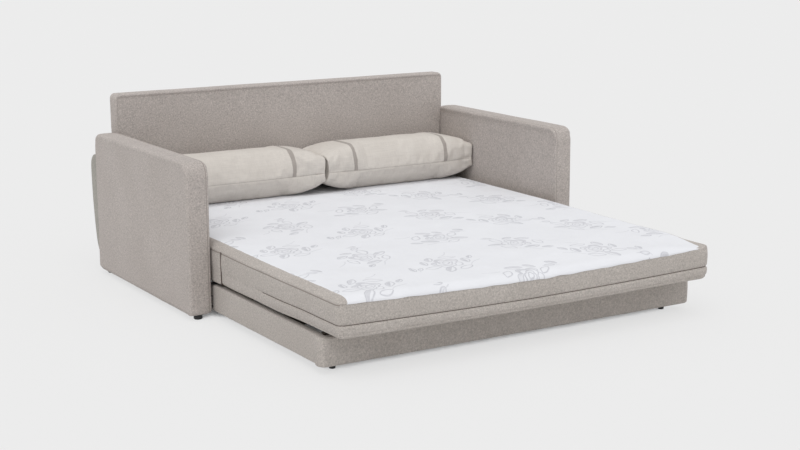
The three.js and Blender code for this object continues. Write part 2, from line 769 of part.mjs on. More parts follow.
buildArm('left', -1);
buildArm('right', 1);
buildBackPanel();
buildRearBody();
buildRails();
buildFixedSlats();
buildChannels();
buildBaseFrame();
buildSlidingSlats();
buildRollers();
buildMattress();
addPiece('left_bolster', bolster(bolsterLeftCentre), linen);
addPiece('right_bolster', bolster(bolsterRightCentre), linen);

export default sofaBed;
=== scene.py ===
# Sofa bed, opened: padded arms and back, a folding mattress on slats, a base that pulls out, two bolsters.
# Metres, Z up. The sofa faces -Y.
import bpy
import bmesh
import math
from mathutils import Euler, Matrix, Vector, noise


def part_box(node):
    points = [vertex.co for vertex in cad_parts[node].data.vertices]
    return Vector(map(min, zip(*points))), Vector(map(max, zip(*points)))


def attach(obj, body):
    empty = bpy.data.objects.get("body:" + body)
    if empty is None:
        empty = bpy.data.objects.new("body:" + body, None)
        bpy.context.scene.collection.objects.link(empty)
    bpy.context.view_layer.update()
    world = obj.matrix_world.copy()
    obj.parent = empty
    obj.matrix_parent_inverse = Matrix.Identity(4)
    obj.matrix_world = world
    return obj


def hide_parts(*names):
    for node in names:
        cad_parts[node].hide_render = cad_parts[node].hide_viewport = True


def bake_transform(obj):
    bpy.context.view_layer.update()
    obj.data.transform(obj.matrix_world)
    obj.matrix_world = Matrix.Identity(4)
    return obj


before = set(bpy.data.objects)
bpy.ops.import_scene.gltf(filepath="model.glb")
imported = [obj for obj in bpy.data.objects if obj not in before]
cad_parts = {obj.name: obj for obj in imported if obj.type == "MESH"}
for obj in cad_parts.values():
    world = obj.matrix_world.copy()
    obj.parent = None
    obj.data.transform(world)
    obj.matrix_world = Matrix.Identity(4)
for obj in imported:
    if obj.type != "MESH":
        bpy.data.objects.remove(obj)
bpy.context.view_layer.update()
print("frame loaded")

# Camera
viewCamera = {
    "place": (-3.3044, -5.4208, 1.6149),
    "yaw": 31.667,     # degrees, from +Y towards +X
    "pitch": 11.81,    # degrees, downwards
    "roll": -0.127,
    "lens": 68.0,
    "sensor": 36.0,
}


def addCamera(setup):
    data = bpy.data.cameras.new("viewCamera")
    data.lens = setup["lens"]
    data.sensor_width = setup["sensor"]
    data.clip_end = 200.0
    camera = bpy.data.objects.new("viewCamera", data)
    bpy.context.scene.collection.objects.link(camera)
    camera.location = setup["place"]
    aim = Euler((math.radians(90 - setup["pitch"]), 0, math.radians(-setup["yaw"]))).to_matrix()
    aim = aim @ Matrix.Rotation(math.radians(setup["roll"]), 3, "Z")
    camera.rotation_euler = aim.to_euler()
    bpy.context.scene.camera = camera


addCamera(viewCamera)


# Materials
class wire:
    # A node's output. Sums and products of wires add the math nodes that work them out
    def __init__(self, socket):
        self.socket = socket
        self.tree = socket.id_data

    def __add__(self, other):
        return calc("ADD", self, other)

    def __sub__(self, other):
        return calc("SUBTRACT", self, other)

    def __rsub__(self, other):
        return calc("SUBTRACT", other, self)

    def __mul__(self, other):
        return calc("MULTIPLY", self, other)

    def __truediv__(self, other):
        return calc("DIVIDE", self, other)

    def __abs__(self):
        return calc("ABSOLUTE", self)


def putIn(socket, value):
    value = getattr(value, "socket", value)
    if isinstance(value, bpy.types.NodeSocket):
        socket.id_data.links.new(value, socket)
    else:
        socket.default_value = value


def putAll(node, inputs):
    for name, value in inputs.items():
        putIn(node.inputs[name], value)


def addNode(tree, kind, inputs=None, **settings):
    made = tree.nodes.new(kind)
    for name, value in settings.items():
        setattr(made, name, value)
    putAll(made, inputs or {})
    return made


def output(tree, kind, inputs=None, slot=0, **settings):
    return wire(addNode(tree, kind, inputs, **settings).outputs[slot])


def calc(operation, *values):
    tree = next(value.tree for value in values if isinstance(value, wire))
    return output(tree, "ShaderNodeMath", dict(enumerate(values)), operation=operation)


def vectorCalc(operation, first, second):
    return output(first.tree, "ShaderNodeVectorMath", {0: first, 1: second}, operation=operation)


def clamped(value):
    return calc("MINIMUM", calc("MAXIMUM", value, 0.0), 1.0)


def split(vector):
    parts = addNode(vector.tree, "ShaderNodeSeparateXYZ", {0: vector})
    return wire(parts.outputs[0]), wire(parts.outputs[1])


def newMaterial(name, roughness, metallic=0.0):
    material = bpy.data.materials.new(name)
    material.use_nodes = True
    shader = material.node_tree.nodes["Principled BSDF"]
    putAll(shader, {"Roughness": roughness, "Metallic": metallic})
    return material, shader, output(material.node_tree, "ShaderNodeTexCoord", slot="Object")


def noiseAt(vector, scale, detail=2.0, roughness=0.5, slot="Fac"):
    inputs = {"Vector": vector, "Scale": scale, "Detail": detail, "Roughness": roughness}
    return output(vector.tree, "ShaderNodeTexNoise", inputs, slot)


def ramp(factor, stops):
    made = addNode(factor.tree, "ShaderNodeValToRGB", {"Fac": factor})
    elements = made.color_ramp.elements
    while len(elements) < len(stops):
        elements.new(0.5)
    for element, (position, colour) in zip(elements, stops):
        element.position = position
        element.color = (*colour, 1.0)
    return wire(made.outputs["Color"])


def mixColour(factor, first, second, blend="MIX"):
    made = addNode(first.tree, "ShaderNodeMix", data_type="RGBA", blend_type=blend)
    for slot, value in ((0, factor), (6, first), (7, second)):
        putIn(made.inputs[slot], (*value, 1.0) if isinstance(value, tuple) else value)
    return wire(made.outputs[2])


def multiplied(first, second):
    return mixColour(1.0, first, second, "MULTIPLY")


def bump(shader, height, distance, strength=1.0):
    inputs = {"Height": height, "Distance": distance, "Strength": strength}
    made = addNode(height.tree, "ShaderNodeBump", inputs)
    putIn(shader.inputs["Normal"], made.outputs["Normal"])
    return made


def rgb(red, green, blue):
    # 0..255 as seen on screen, to the linear values that the shader takes
    return tuple((c / 255 / 12.92) if c <= 10.3 else ((c / 255 + 0.055) / 1.055) ** 2.4
                 for c in (red, green, blue))


def tones(factor, colour, *stops):
    # The colour at different strengths
    return ramp(factor, [(place, tuple(c * share for c in colour)) for place, share in stops])


def plainWeave(tree, yarn, wander):
    # Height of a plain weave on the piece's own UV map, which is in metres
    across = output(tree, "ShaderNodeUVMap", slot="UV")
    shift = vectorCalc("MULTIPLY", noiseAt(across, 60.0, 1.0, slot="Color"), (wander, wander, 0))
    moved = vectorCalc("ADD", across, shift)
    warp, weft = (abs(calc("SINE", along * (math.pi / yarn))) for along in split(moved))
    over = output(tree, "ShaderNodeTexChecker", {"Vector": moved, "Scale": 1.0 / yarn}, "Fac")
    return output(tree, "ShaderNodeMix", {0: over, 2: warp, 3: weft}, data_type="FLOAT")


white = (1.0, 1.0, 1.0)


def chenille(name, look):
    # Nubby cloth: a loose weave with lighter and darker flecks of yarn
    material, shader, coords = newMaterial(name, look["roughness"])
    flecks = noiseAt(coords, 1 / look["fleckSize"], 3.0, 0.65)
    tone = tones(flecks, look["colour"], *((place, 1 + look["fleckDepth"] * share) for place, share in (
        (0.34, -1.0), (0.45, -0.2), (0.56, 0.2), (0.67, 1.1))))
    inputs = {"Vector": coords, "Scale": 1 / look["nubSize"]}
    nubs = output(coords.tree, "ShaderNodeTexVoronoi", inputs, "Distance")
    nubTone = tones(nubs, white, (0.0, 1.06), (0.75, 0.86))
    cloudTone = ramp(noiseAt(coords, 5.0, 3.0), [(0.3, (0.965, 0.96, 0.955)), (0.7, (1.03,) * 3)])
    weave = plainWeave(coords.tree, look["yarn"], look["yarn"] * 0.8)
    fuzz = noiseAt(coords, 1 / (look["nubSize"] * 0.6))
    bump(shader, weave * 0.5 + (1.0 - nubs) * 0.6 + fuzz * 0.5, look["relief"], 0.75)
    putAll(shader, {
        "Base Color": multiplied(multiplied(tone, nubTone), cloudTone),
        "Specular IOR Level": 0.2, "Sheen Weight": look["sheen"], "Sheen Roughness": 0.45})
    return material


upholsteryLook = {
    "colour": rgb(190, 182, 177), "roughness": 0.92, "fleckSize": 0.0062, "fleckDepth": 0.235,
    "nubSize": 0.0034, "yarn": 0.0026, "relief": 0.0009, "sheen": 0.1,
}
upholstery = chenille("upholsteryCloth", upholsteryLook)
rearCloth = chenille("rearCloth", dict(upholsteryLook, colour=rgb(172, 169, 162), fleckDepth=0.17))
# the same cloth on the mattress and the base, with quieter flecks
lowCloth = chenille("lowCloth", dict(upholsteryLook, colour=rgb(190, 183, 177), fleckDepth=0.21))


def seamThread(name, colour):
    material, shader, coords = newMaterial(name, 0.8)
    strands = noiseAt(coords, 900.0)
    putAll(shader, {"Base Color": tones(strands, colour, (0.35, 0.8), (0.65, 1.0))})
    bump(shader, strands, 0.0003)
    return material


# dark seam thread; the same colour also paints the shade in the gap at the mattress fold
seamDarkAndFoldShade = seamThread("seamDarkAndFoldShade", rgb(108, 97, 91))
# soft seam thread; on the mattress tape its darker tone also paints the seam's shadow
seamSoftAndShade = seamThread("seamSoftAndShade", rgb(150, 141, 134))


def tickingMaterial(name, look):
    # White knitted jacquard with pale grey sprays: a flower, leaves round it and tendrils in each cell
    material, shader, coords = newMaterial(name, look["roughness"])
    wander = vectorCalc("SUBTRACT", noiseAt(coords, 9.0, slot="Color"), (0.5, 0.5, 0.5))
    shift = vectorCalc("MULTIPLY", wander, (look["wander"], look["wander"], 0.0))
    x, y = (part - start for part, start in zip(split(vectorCalc("ADD", coords, shift)), look["start"]))
    (ax, ay), (bx, by) = look["alongRow"], look["toNextRow"]
    area = ax * by - ay * bx
    column = x * (by / area) - y * (bx / area)
    row = y * (ax / area) - x * (ay / area)
    columnNumber, rowNumber = calc("ROUND", column), calc("ROUND", row)
    columnPart, rowPart = column - columnNumber, row - rowNumber
    mirror = calc("FLOORED_MODULO", rowNumber, 2.0) * 2.0 - 1.0
    plainU = (columnPart * ax + rowPart * bx) * mirror
    plainV = columnPart * ay + rowPart * by
    # each upright line of flowers has its own turn
    turn = calc("SINE", (columnNumber * 2.0 + rowNumber) * 2.3) * look["turn"]
    turnCos, turnSin = calc("COSINE", turn), calc("SINE", turn)
    u = plainU * turnCos - plainV * turnSin
    v = plainU * turnSin + plainV * turnCos
    flat = output(coords.tree, "ShaderNodeCombineXYZ", {0: u, 1: v})

    def outline(distance, width=look["line"]):
        # 1 on the line, fading to 0 at its edges
        return calc("MAXIMUM", 1.0 - distance / width, 0.0)

    def filled(inside, edge=look["line"]):
        return clamped(inside / edge)

    marks = []
    angle = calc("ARCTAN2", v, u)
    reach = calc("SQRT", calc("POWER", u, 2.0) + calc("POWER", v, 2.0))
    for radius, petals, phase, depth, fill in look["flower"]:
        wave = abs(calc("COSINE", angle * (petals / 2) + phase))
        edge = (wave * depth + (1 - depth)) * radius
        marks.append(outline(abs(reach - edge)))
        if fill > 0:
            # shaded on one side, towards the edge of the petals
            side = filled(calc("SINE", angle + phase) - 0.1, 0.5)
            rim = filled(reach - edge * 0.62, look["line"] * 2)
            marks.append(filled(edge - reach) * side * (rim * fill))
    for place, leafTurn, length, width, fill in look["leaves"]:
        leaf = output(coords.tree, "ShaderNodeMapping", {
            "Vector": flat, "Location": (*place, 0.0), "Rotation": (0.0, 0.0, math.radians(leafTurn)),
        }, vector_type="TEXTURE")
        leafX, leafY = split(leaf)
        along = abs(leafX / length)
        side = (1.0 - calc("POWER", along, 2.0)) * width
        marks.append(outline(abs(abs(leafY) - side)) * calc("LESS_THAN", along, 1.0))
        if fill > 0:
            # one half of the leaf is shaded, from its middle vein outwards
            halfLeaf = calc("GREATER_THAN", leafY, -0.15 * width)
            marks.append(filled(side - abs(leafY)) * halfLeaf * fill)
    for start, end, height, swing, drift in look["tendrils"]:
        path = calc("SINE", u * swing) * drift + height
        inRange = calc("GREATER_THAN", u, start) * calc("LESS_THAN", u, end)
        marks.append(outline(abs(v - path), look["line"] * 0.8) * inRange * 0.6)
    drawn = marks[0]
    for mark in marks[1:]:
        drawn = calc("MAXIMUM", drawn, mark)
    drawn = calc("MINIMUM", drawn * (noiseAt(coords, 55.0) + 0.3), 1.0)     # worn thin in places
    ground = tones(noiseAt(coords, 6.0), look["colour"], (0.35, 0.975), (0.65, 1.0))
    knit = plainWeave(coords.tree, look["yarn"], look["yarn"] * 0.5)
    height = knit * 0.25 + noiseAt(coords, 240.0) * 0.3 - drawn * 0.8
    knitted = bump(shader, height, look["relief"], 0.6)
    # quilting: soft crumples between the stitches
    bump(knitted, noiseAt(coords, 1 / look["crumpleSize"], 2.0, 0.45), look["crumple"], 0.7)
    putAll(shader, {
        "Base Color": mixColour(drawn * look["strength"], ground, look["sprayColour"]),
        "Specular IOR Level": 0.25, "Sheen Weight": 0.08})
    return material


tickingLook = {
    "colour": rgb(230, 231, 235), "sprayColour": rgb(168, 168, 176), "strength": 0.74,
    "roughness": 0.75, "yarn": 0.0016, "relief": 0.0007, "line": 0.0046, "turn": 0.9, "wander": 0.03,
    "crumple": 0.0035, "crumpleSize": 0.034,
    "start": (-0.034, 0.222), "alongRow": (0.428, 0.146), "toNextRow": (0.213, -0.244),
    "flower": [  # radius, petals, turn, how deep the petals are, how much is filled
        (0.060, 5, 0.4, 0.34, 0.7), (0.043, 4, 1.1, 0.30, 0.0),
        (0.028, 3, 0.2, 0.34, 0.55), (0.013, 3, 0.9, 0.3, 0.0),
    ],
    "leaves": [  # place of the middle, turn in degrees, half length, half width, how much it is filled
        ((-0.083, 0.020), 140, 0.036, 0.015, 0.0),
        ((-0.072, -0.046), 20, 0.038, 0.016, 0.7),
        ((-0.018, -0.084), -20, 0.036, 0.015, 0.0),
        ((0.022, 0.082), 24, 0.034, 0.015, 0.6),
        ((-0.044, 0.076), 50, 0.028, 0.013, 0.8),
        ((0.084, 0.030), 130, 0.036, 0.015, 0.0),
        ((0.070, -0.050), 40, 0.036, 0.016, 0.8),
        ((0.128, -0.050), 16, 0.026, 0.011, 0.9),
        ((-0.150, 0.082), 50, 0.026, 0.011, 0.9),
        ((-0.126, 0.058), 14, 0.022, 0.010, 0.0),
    ],
    "tendrils": [  # from u, to u, height, swing, drift
        (-0.165, -0.095, 0.050, 42.0, 0.012),
        (0.09, 0.17, 0.066, 38.0, 0.011),
        (0.02, 0.11, -0.098, 30.0, 0.010),
    ],
}
ticking = tickingMaterial("tickingJacquard", tickingLook)


def linenMaterial(name, look):
    # Flat woven cloth with slubs in both directions
    material, shader, coords = newMaterial(name, 0.88)
    along, across = (noiseAt(vectorCalc("MULTIPLY", coords, stretch), 1.0)
                     for stretch in ((8.0, 260.0, 260.0), (420.0, 30.0, 30.0)))
    slub = (along + across) * 0.5
    tone = tones(slub, look["colour"], (0.36, 0.93), (0.64, 1.04))
    cloud = ramp(noiseAt(coords, 7.0, 3.0), [(0.3, (0.975, 0.97, 0.965)), (0.7, (1.02,) * 3)])
    weave = plainWeave(coords.tree, look["yarn"], look["yarn"] * 0.5)
    bump(shader, weave * 0.4 + slub, look["relief"], 0.6)
    putAll(shader, {"Base Color": multiplied(tone, cloud), "Specular IOR Level": 0.25, "Sheen Weight": 0.1})
    return material


linen = linenMaterial("bolsterLinen", {"colour": rgb(209, 203, 196), "yarn": 0.0012, "relief": 0.0005})
stripeTape = linenMaterial("stripeTape", {"colour": rgb(166, 159, 153), "yarn": 0.0010, "relief": 0.0005})
linenSeam = seamThread("linenSeam", rgb(186, 178, 171))


def timberMaterial(name, colour, along):
    material, shader, coords = newMaterial(name, 0.6)
    grainScale = tuple(2.0 if axis == along else 45.0 for axis in "xyz")
    grain = noiseAt(vectorCalc("MULTIPLY", coords, grainScale), 1.0, 4.0, 0.6)
    tone = tones(grain, colour, (0.3, 0.72), (0.5, 1.0), (0.75, 1.12))
    boardTone = ramp(noiseAt(coords, 3.0, 1.0), [(0.3, (0.92, 0.91, 0.9)), (0.7, (1.03, 1.02, 1.0))])
    rough = tones(grain, white, (0.3, 0.72), (0.7, 0.5))
    bump(shader, grain, 0.0004, 0.6)
    putAll(shader, {"Base Color": multiplied(tone, boardTone), "Roughness": rough})
    return material


pine = rgb(136, 118, 94)
timberAcross = timberMaterial("timberAcross", pine, "x")
timberDeep = timberMaterial("timberDeep", pine, "y")
timberUpright = timberMaterial("timberUpright", pine, "z")
# painted shade: pine darkened for the base's timber, which lies in shade under the mattress
timberDarkenedForShade = timberMaterial("timberDarkenedForShade", rgb(70, 61, 52), "x")


def metalMaterial(name, look):
    material, shader, coords = newMaterial(name, look["roughness"], look["metallic"])
    mottled = noiseAt(coords, look["mottle"], 3.0)
    tone = tones(mottled, look["colour"], (0.35, 0.85), (0.65, 1.1))
    rough = tones(mottled, (look["roughness"],) * 3, (0.3, 0.8), (0.7, 1.25))
    bump(shader, noiseAt(coords, 700.0), look["relief"], 0.4)
    putAll(shader, {"Base Color": tone, "Roughness": rough})
    return material


metalLooks = {
    "blackSteel": dict(colour=rgb(58, 58, 60), roughness=0.42, metallic=0.7, mottle=60.0, relief=0.0002),
    # zinc plate and nylon are dark: partly their own finish, partly painted shade where they show in the gap
    # under the arms
    "zincPlate": dict(colour=rgb(70, 70, 72), roughness=0.4, metallic=0.9, mottle=40.0, relief=0.0001),
    "blackPlastic": dict(colour=rgb(26, 26, 27), roughness=0.5, metallic=0.0, mottle=90.0, relief=0.0003),
    "nylonRoller": dict(colour=rgb(38, 38, 38), roughness=0.45, metallic=0.0, mottle=50.0, relief=0.0002),
}
steel, zinc, blackPlastic, nylon = (metalMaterial(name, look) for name, look in metalLooks.items())
print("materials made")


# Shared modelling
hair = 1e-4          # two places this near are one
leastStep = 0.0006   # stations of a lattice stand no nearer than this
leastRadius = 0.002
surface = 0.9999     # this far out, from the middle at 0 to the outside at 1, counts as outside


def solidBox(name):
    return [Vector(corner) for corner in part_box(name)]


def shareOf(place, low, high):
    # -1 at the low end, 1 at the high end
    return (place - low) / (high - low) * 2 - 1


def spread(low, high, step, lowEdge=(), highEdge=(), extra=()):
    # Places from low to high: close together near the edges, then evenly
    places = [low + gap for gap in lowEdge] + [high - gap for gap in highEdge] + [low, high, *extra]
    inner0 = low + max(lowEdge, default=0)
    inner1 = high - max(highEdge, default=0)
    count = max(1, round((inner1 - inner0) / step))
    places += [inner0 + (inner1 - inner0) * i / count for i in range(count + 1)]
    kept = []
    for place in sorted(places):
        if not kept or place - kept[-1] > leastStep:
            kept.append(place)
    return kept


def cornerGaps(radius, steps):
    # Gaps from a corner that become even steps round its arc
    return [radius * (1 - math.tan(math.pi / 4 * k / steps)) for k in range(steps + 1)]


def edgeGaps(radius, steps):
    return [radius * (1 - math.sin(math.pi / 2 * k / steps)) for k in range(steps + 1)]


def latticeBlock(stations):
    # A box cut at the given places along X, Y and Z
    bm = bmesh.new()
    bmesh.ops.create_cube(bm, size=1.0)
    bmesh.ops.translate(bm, verts=bm.verts, vec=(0.5, 0.5, 0.5))
    for axis in range(3):
        along = [edge for edge in bm.edges if abs(edge.verts[0].co[axis] - edge.verts[1].co[axis]) > 0.5]
        bmesh.ops.subdivide_edges(bm, edges=along, cuts=len(stations[axis]) - 2)
    for vert in bm.verts:
        vert.co = [stations[axis][round(vert.co[axis] * (len(stations[axis]) - 1))] for axis in range(3)]
    bm.verts.index_update()
    return bm, [vert.co.copy() for vert in bm.verts]


def roundCorner(a, b, halfA, halfB, radius):
    # Moves a point of a rectangle so that the rectangle's corner becomes an arc
    overA = max(0.0, abs(a) - (halfA - radius)) / radius
    overB = max(0.0, abs(b) - (halfB - radius)) / radius
    if overA > 0 and overB > 0:
        reach = max(overA, overB) / math.hypot(overA, overB) * radius
        a = math.copysign(halfA - radius + overA * reach, a)
        b = math.copysign(halfB - radius + overB * reach, b)
    return a, b


def arcInset(over, radius):
    # How far a rounded edge lies inside its corner, that far into the rounding
    over = min(max(over, 0.0), radius)
    return radius - math.sqrt(radius * radius - over * over)


def shapeSlab(bm, low, high, across, cornerRadii, edgeRounds):
    # Turns a lattice block into a slab: arcs at its corners and rounded edges on its two large faces
    inPlane = [axis for axis in range(3) if axis != across]
    middle = (low + high) / 2
    half = (high - low) / 2
    for vert in bm.verts:
        place = vert.co - middle
        side = place[across]
        edge = edgeRounds[0 if side < 0 else 1]
        inset = arcInset(abs(side) - (half[across] - edge), edge)
        halfA = half[inPlane[0]] - inset
        halfB = half[inPlane[1]] - inset
        a = place[inPlane[0]] * halfA / half[inPlane[0]]
        b = place[inPlane[1]] * halfB / half[inPlane[1]]
        radius = max(cornerRadii[0 if b < 0 else 1] - inset, leastRadius)
        place[inPlane[0]], place[inPlane[1]] = roundCorner(a, b, halfA, halfB, radius)
        vert.co = middle + place


def moveAlongNormals(bm, rest, amount):
    bmesh.ops.recalc_face_normals(bm, faces=bm.faces)
    bm.normal_update()
    moves = [vert.normal * amount(rest[vert.index]) for vert in bm.verts]
    for vert, move in zip(bm.verts, moves):
        vert.co += move


def paintFaces(bm, rest, slot, inside):
    # Gives the faces whose middle on the flat lattice passes the test another material
    for face in bm.faces:
        middle = sum((rest[vert.index] for vert in face.verts), Vector()) / len(face.verts)
        if inside(middle):
            face.material_index = slot


def grooveAt(place, seam, width, depth):
    return -depth * max(0.0, 1 - abs(place - seam) / width) ** 1.5


def seamGaps(seam, width, thread):
    gaps = (thread / 2, width * 0.5, width)
    return [seam] + [seam - gap for gap in gaps] + [seam + gap for gap in gaps]


def swell(place, low, high, amount):
    if place <= low or place >= high:
        return 0.0
    share = shareOf(place, low, high)
    return amount * (1 - share * share)


def unevenness(place, dents):
    # Each layer of dents has a size, a depth and a seed
    return sum(depth * noise.noise(Vector((place.x / size + seed, place.y / size, place.z / size)))
               for size, depth, seed in dents)


def smoothStep(value):
    value = min(1.0, max(0.0, value))
    return value * value * (3 - 2 * value)


def fade(distance, reach):
    # 1 at no distance, 0 from the reach on
    return smoothStep(1 - distance / reach)


def objectFrom(bm, name, materials=()):
    mesh = bpy.data.meshes.new(name)
    bm.to_mesh(mesh)
    for material in materials:
        mesh.materials.append(material)
    made = bpy.data.objects.new(name, mesh)
    bpy.context.scene.collection.objects.link(made)
    return made


def boxUv(bm):
    # A UV map in metres, laid on each face from its own side
    layer = bm.loops.layers.uv.new("clothUv")
    for face in bm.faces:
        normal = face.normal
        facing = max(range(3), key=lambda axis: abs(normal[axis]))
        first, second = [axis for axis in range(3) if axis != facing]
        for loop in face.loops:
            loop[layer].uv = (loop.vert.co[first], loop.vert.co[second])


def finishPiece(name, bm, materials, body=None):
    bmesh.ops.recalc_face_normals(bm, faces=bm.faces)
    bm.normal_update()
    boxUv(bm)
    piece = objectFrom(bm, name, materials)
    bm.free()
    piece.data.shade_smooth()
    subdivision = piece.modifiers.new("softer", "SUBSURF")
    subdivision.levels = 1
    subdivision.render_levels = 1
    if body:
        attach(piece, body)
    return piece


# Arms
armShape = {
    "cornerRadius": 0.055, "footRadius": 0.022, "edgeRound": 0.006, "step": 0.045, "bandStep": 0.02,
    "seamIn": 0.0065, "seamWidth": 0.0045, "seamDepth": 0.0018, "thread": 0.0014,
    "puff": 0.0045, "topPuff": 0.0030, "frontPuff": 0.0030, "puffFrom": 0.9, "puffReach": 0.1,
    "facePuff": 0.0050, "crown": 0.0012, "bandCrown": 0.0015,
    "dents": ((0.22, 0.0009, 0.0), (0.07, 0.00045, 9.0)),
}


def buildArm(sideName, shape):
    low, high = solidBox(f"{sideName}_arm_cover")
    # the seam that shows runs along the edge of the inner face
    seam = high.x - shape["seamIn"] if sideName == "left" else low.x + shape["seamIn"]
    edges = edgeGaps(shape["edgeRound"], 5)
    corners = cornerGaps(shape["cornerRadius"], 6)
    seamPlaces = seamGaps(seam, shape["seamWidth"], shape["thread"])
    bm, rest = latticeBlock([
        spread(low.x, high.x, shape["bandStep"], edges, edges, seamPlaces),
        spread(low.y, high.y, shape["step"], corners, corners),
        spread(low.z, high.z, shape["step"], cornerGaps(shape["footRadius"], 4), corners),
    ])
    shapeSlab(bm, low, high, 0, (shape["footRadius"], shape["cornerRadius"]), (shape["edgeRound"],) * 2)

    def onBand(place):
        along, up = shareOf(place.y, low.y, high.y), shareOf(place.z, low.z, high.z)
        return max(abs(along), abs(up)) > surface, along, up

    def relief(place):
        band, along, up = onBand(place)
        total = unevenness(place, shape["dents"])
        if band:
            total += grooveAt(place.x, seam, shape["seamWidth"], shape["seamDepth"])
            total += swell(place.x, low.x, high.x, shape["bandCrown"])
            total += shape["topPuff"] * smoothStep((up - shape["puffFrom"]) / shape["puffReach"])
            total += shape["frontPuff"] * smoothStep((-shape["puffFrom"] - along) / shape["puffReach"])
            return total + (shape["puff"] if up > -surface else 0.0)
        return total + shape["facePuff"] + shape["crown"] * (1 - along ** 4) * (1 - up ** 4)

    moveAlongNormals(bm, rest, relief)
    paintFaces(bm, rest, 1, lambda place: onBand(place)[0] and abs(place.x - seam) < shape["thread"] / 2)
    arm = finishPiece(f"{sideName}_arm_padding", bm, [upholstery, seamSoftAndShade], "sofa_frame")
    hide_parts(f"{sideName}_arm_cover")


buildArm("left", armShape)
# the one on the right is padded less on its faces
buildArm("right", dict(armShape, puff=0.0015, facePuff=0.0010, frontPuff=0.0, topPuff=0.0060))
print("arms built")

# Back panel
backShape = {
    "cornerRadius": 0.018, "edgeRound": 0.006, "puff": 0.0055, "crown": 0.002,
    "dents": ((0.25, 0.0012, 0.0), (0.08, 0.0006, 5.0)), "step": 0.05, "bandStep": 0.02,
}


def buildBack(shape):
    low, high = solidBox("back_panel_cover")
    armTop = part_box("left_arm_cover")[1][2]
    edges = edgeGaps(shape["edgeRound"], 5)
    corners = cornerGaps(shape["cornerRadius"], 5)
    bm, rest = latticeBlock([
        spread(low.x, high.x, shape["step"], corners, corners),
        spread(low.y, high.y, shape["bandStep"], edges, edges),
        spread(low.z, high.z, shape["step"], corners, corners),
    ])
    shapeSlab(bm, low, high, 1, (shape["cornerRadius"],) * 2, (shape["edgeRound"],) * 2)

    def relief(place):
        along, up = shareOf(place.x, low.x, high.x), shareOf(place.z, low.z, high.z)
        total = unevenness(place, shape["dents"])
        if max(abs(along), abs(up)) < surface:
            return total + shape["crown"] * (1 - along ** 6) * (1 - up ** 4)
        # puffed only above the arms
        return total + (shape["puff"] if up > -surface and place.z > armTop else 0.0)

    moveAlongNormals(bm, rest, relief)
    panel = finishPiece("back_padding", bm, [upholstery], "sofa_frame")
    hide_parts("back_panel_cover")


buildBack(backShape)

# Rear body behind the arms, its front edge tucked round the arms' rear edges
rearShape = {
    "endRound": 0.010, "step": 0.05, "depthStep": 0.02, "panelGap": 0.0015, "jog": 0.002, "leastDepth": 0.002,
    "tuck": 0.0005, "dents": ((0.2, 0.0012, 3.0),), "puff": 0.0040,
    "heights": (0.28, 0.36, 0.45, 0.493, 0.516, 0.532),
    "profile": [  # height, how deep the body is there, as a share of its full depth
        (0.100, 0.10), (0.129, 0.38), (0.171, 0.56), (0.241, 0.75), (0.323, 0.90),
        (0.416, 0.98), (0.480, 1.00), (0.505, 0.96), (0.525, 0.80), (0.537, 0.52), (0.540, 0.12),
    ],
}


def rearReach(z, profile):
    for (z0, share0), (z1, share1) in zip(profile, profile[1:]):
        if z <= z1:
            return share0 + (share1 - share0) * (z - z0) / (z1 - z0)
    return profile[-1][1]


def buildRearBody(shape):
    low, high = solidBox("rear_body_cover")
    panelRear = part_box("back_panel_cover")[1][1] + shape["panelGap"]
    armInner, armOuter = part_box("right_arm_cover")[0][0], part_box("right_arm_cover")[1][0]
    armRound = armShape["edgeRound"]
    ends = edgeGaps(armRound, 5)
    jog = shape["jog"]     # where its front steps from behind the panel to behind the arm
    jogPlaces = (-armInner, -armInner - jog, armInner, armInner + jog)
    bm, rest = latticeBlock([
        spread(low.x, high.x, shape["step"], ends, ends, jogPlaces),
        [low.y, low.y + shape["depthStep"], high.y],
        sorted({z for z, share in shape["profile"]} | set(shape["heights"])),
    ])
    depth = high.y - low.y
    middleZ = (low.z + high.z) / 2
    for vert in bm.verts:
        place = rest[vert.index]
        inset = arcInset(abs(place.x) - (high.x - shape["endRound"]), shape["endRound"])
        front = panelRear if abs(place.x) < armInner + jog / 2 else low.y
        if abs(place.x) > armOuter - armRound:
            front = low.y - arcInset(abs(place.x) - (armOuter - armRound), armRound) + shape["tuck"]
        back = low.y + depth * rearReach(place.z, shape["profile"]) - inset
        back = max(back, front + shape["leastDepth"])
        share = (place.y - low.y) / depth
        vert.co.y = front + (back - front) * share
        vert.co.z = place.z - math.copysign(inset, place.z - middleZ) * share

    moveAlongNormals(bm, rest, lambda place: unevenness(place, shape["dents"])
                     + (0.0 if place.y < low.y + hair else shape["puff"]))
    piece = finishPiece("rear_padding", bm, [rearCloth], "sofa_frame")
    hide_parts("rear_body_cover")


buildRearBody(rearShape)
print("back built")

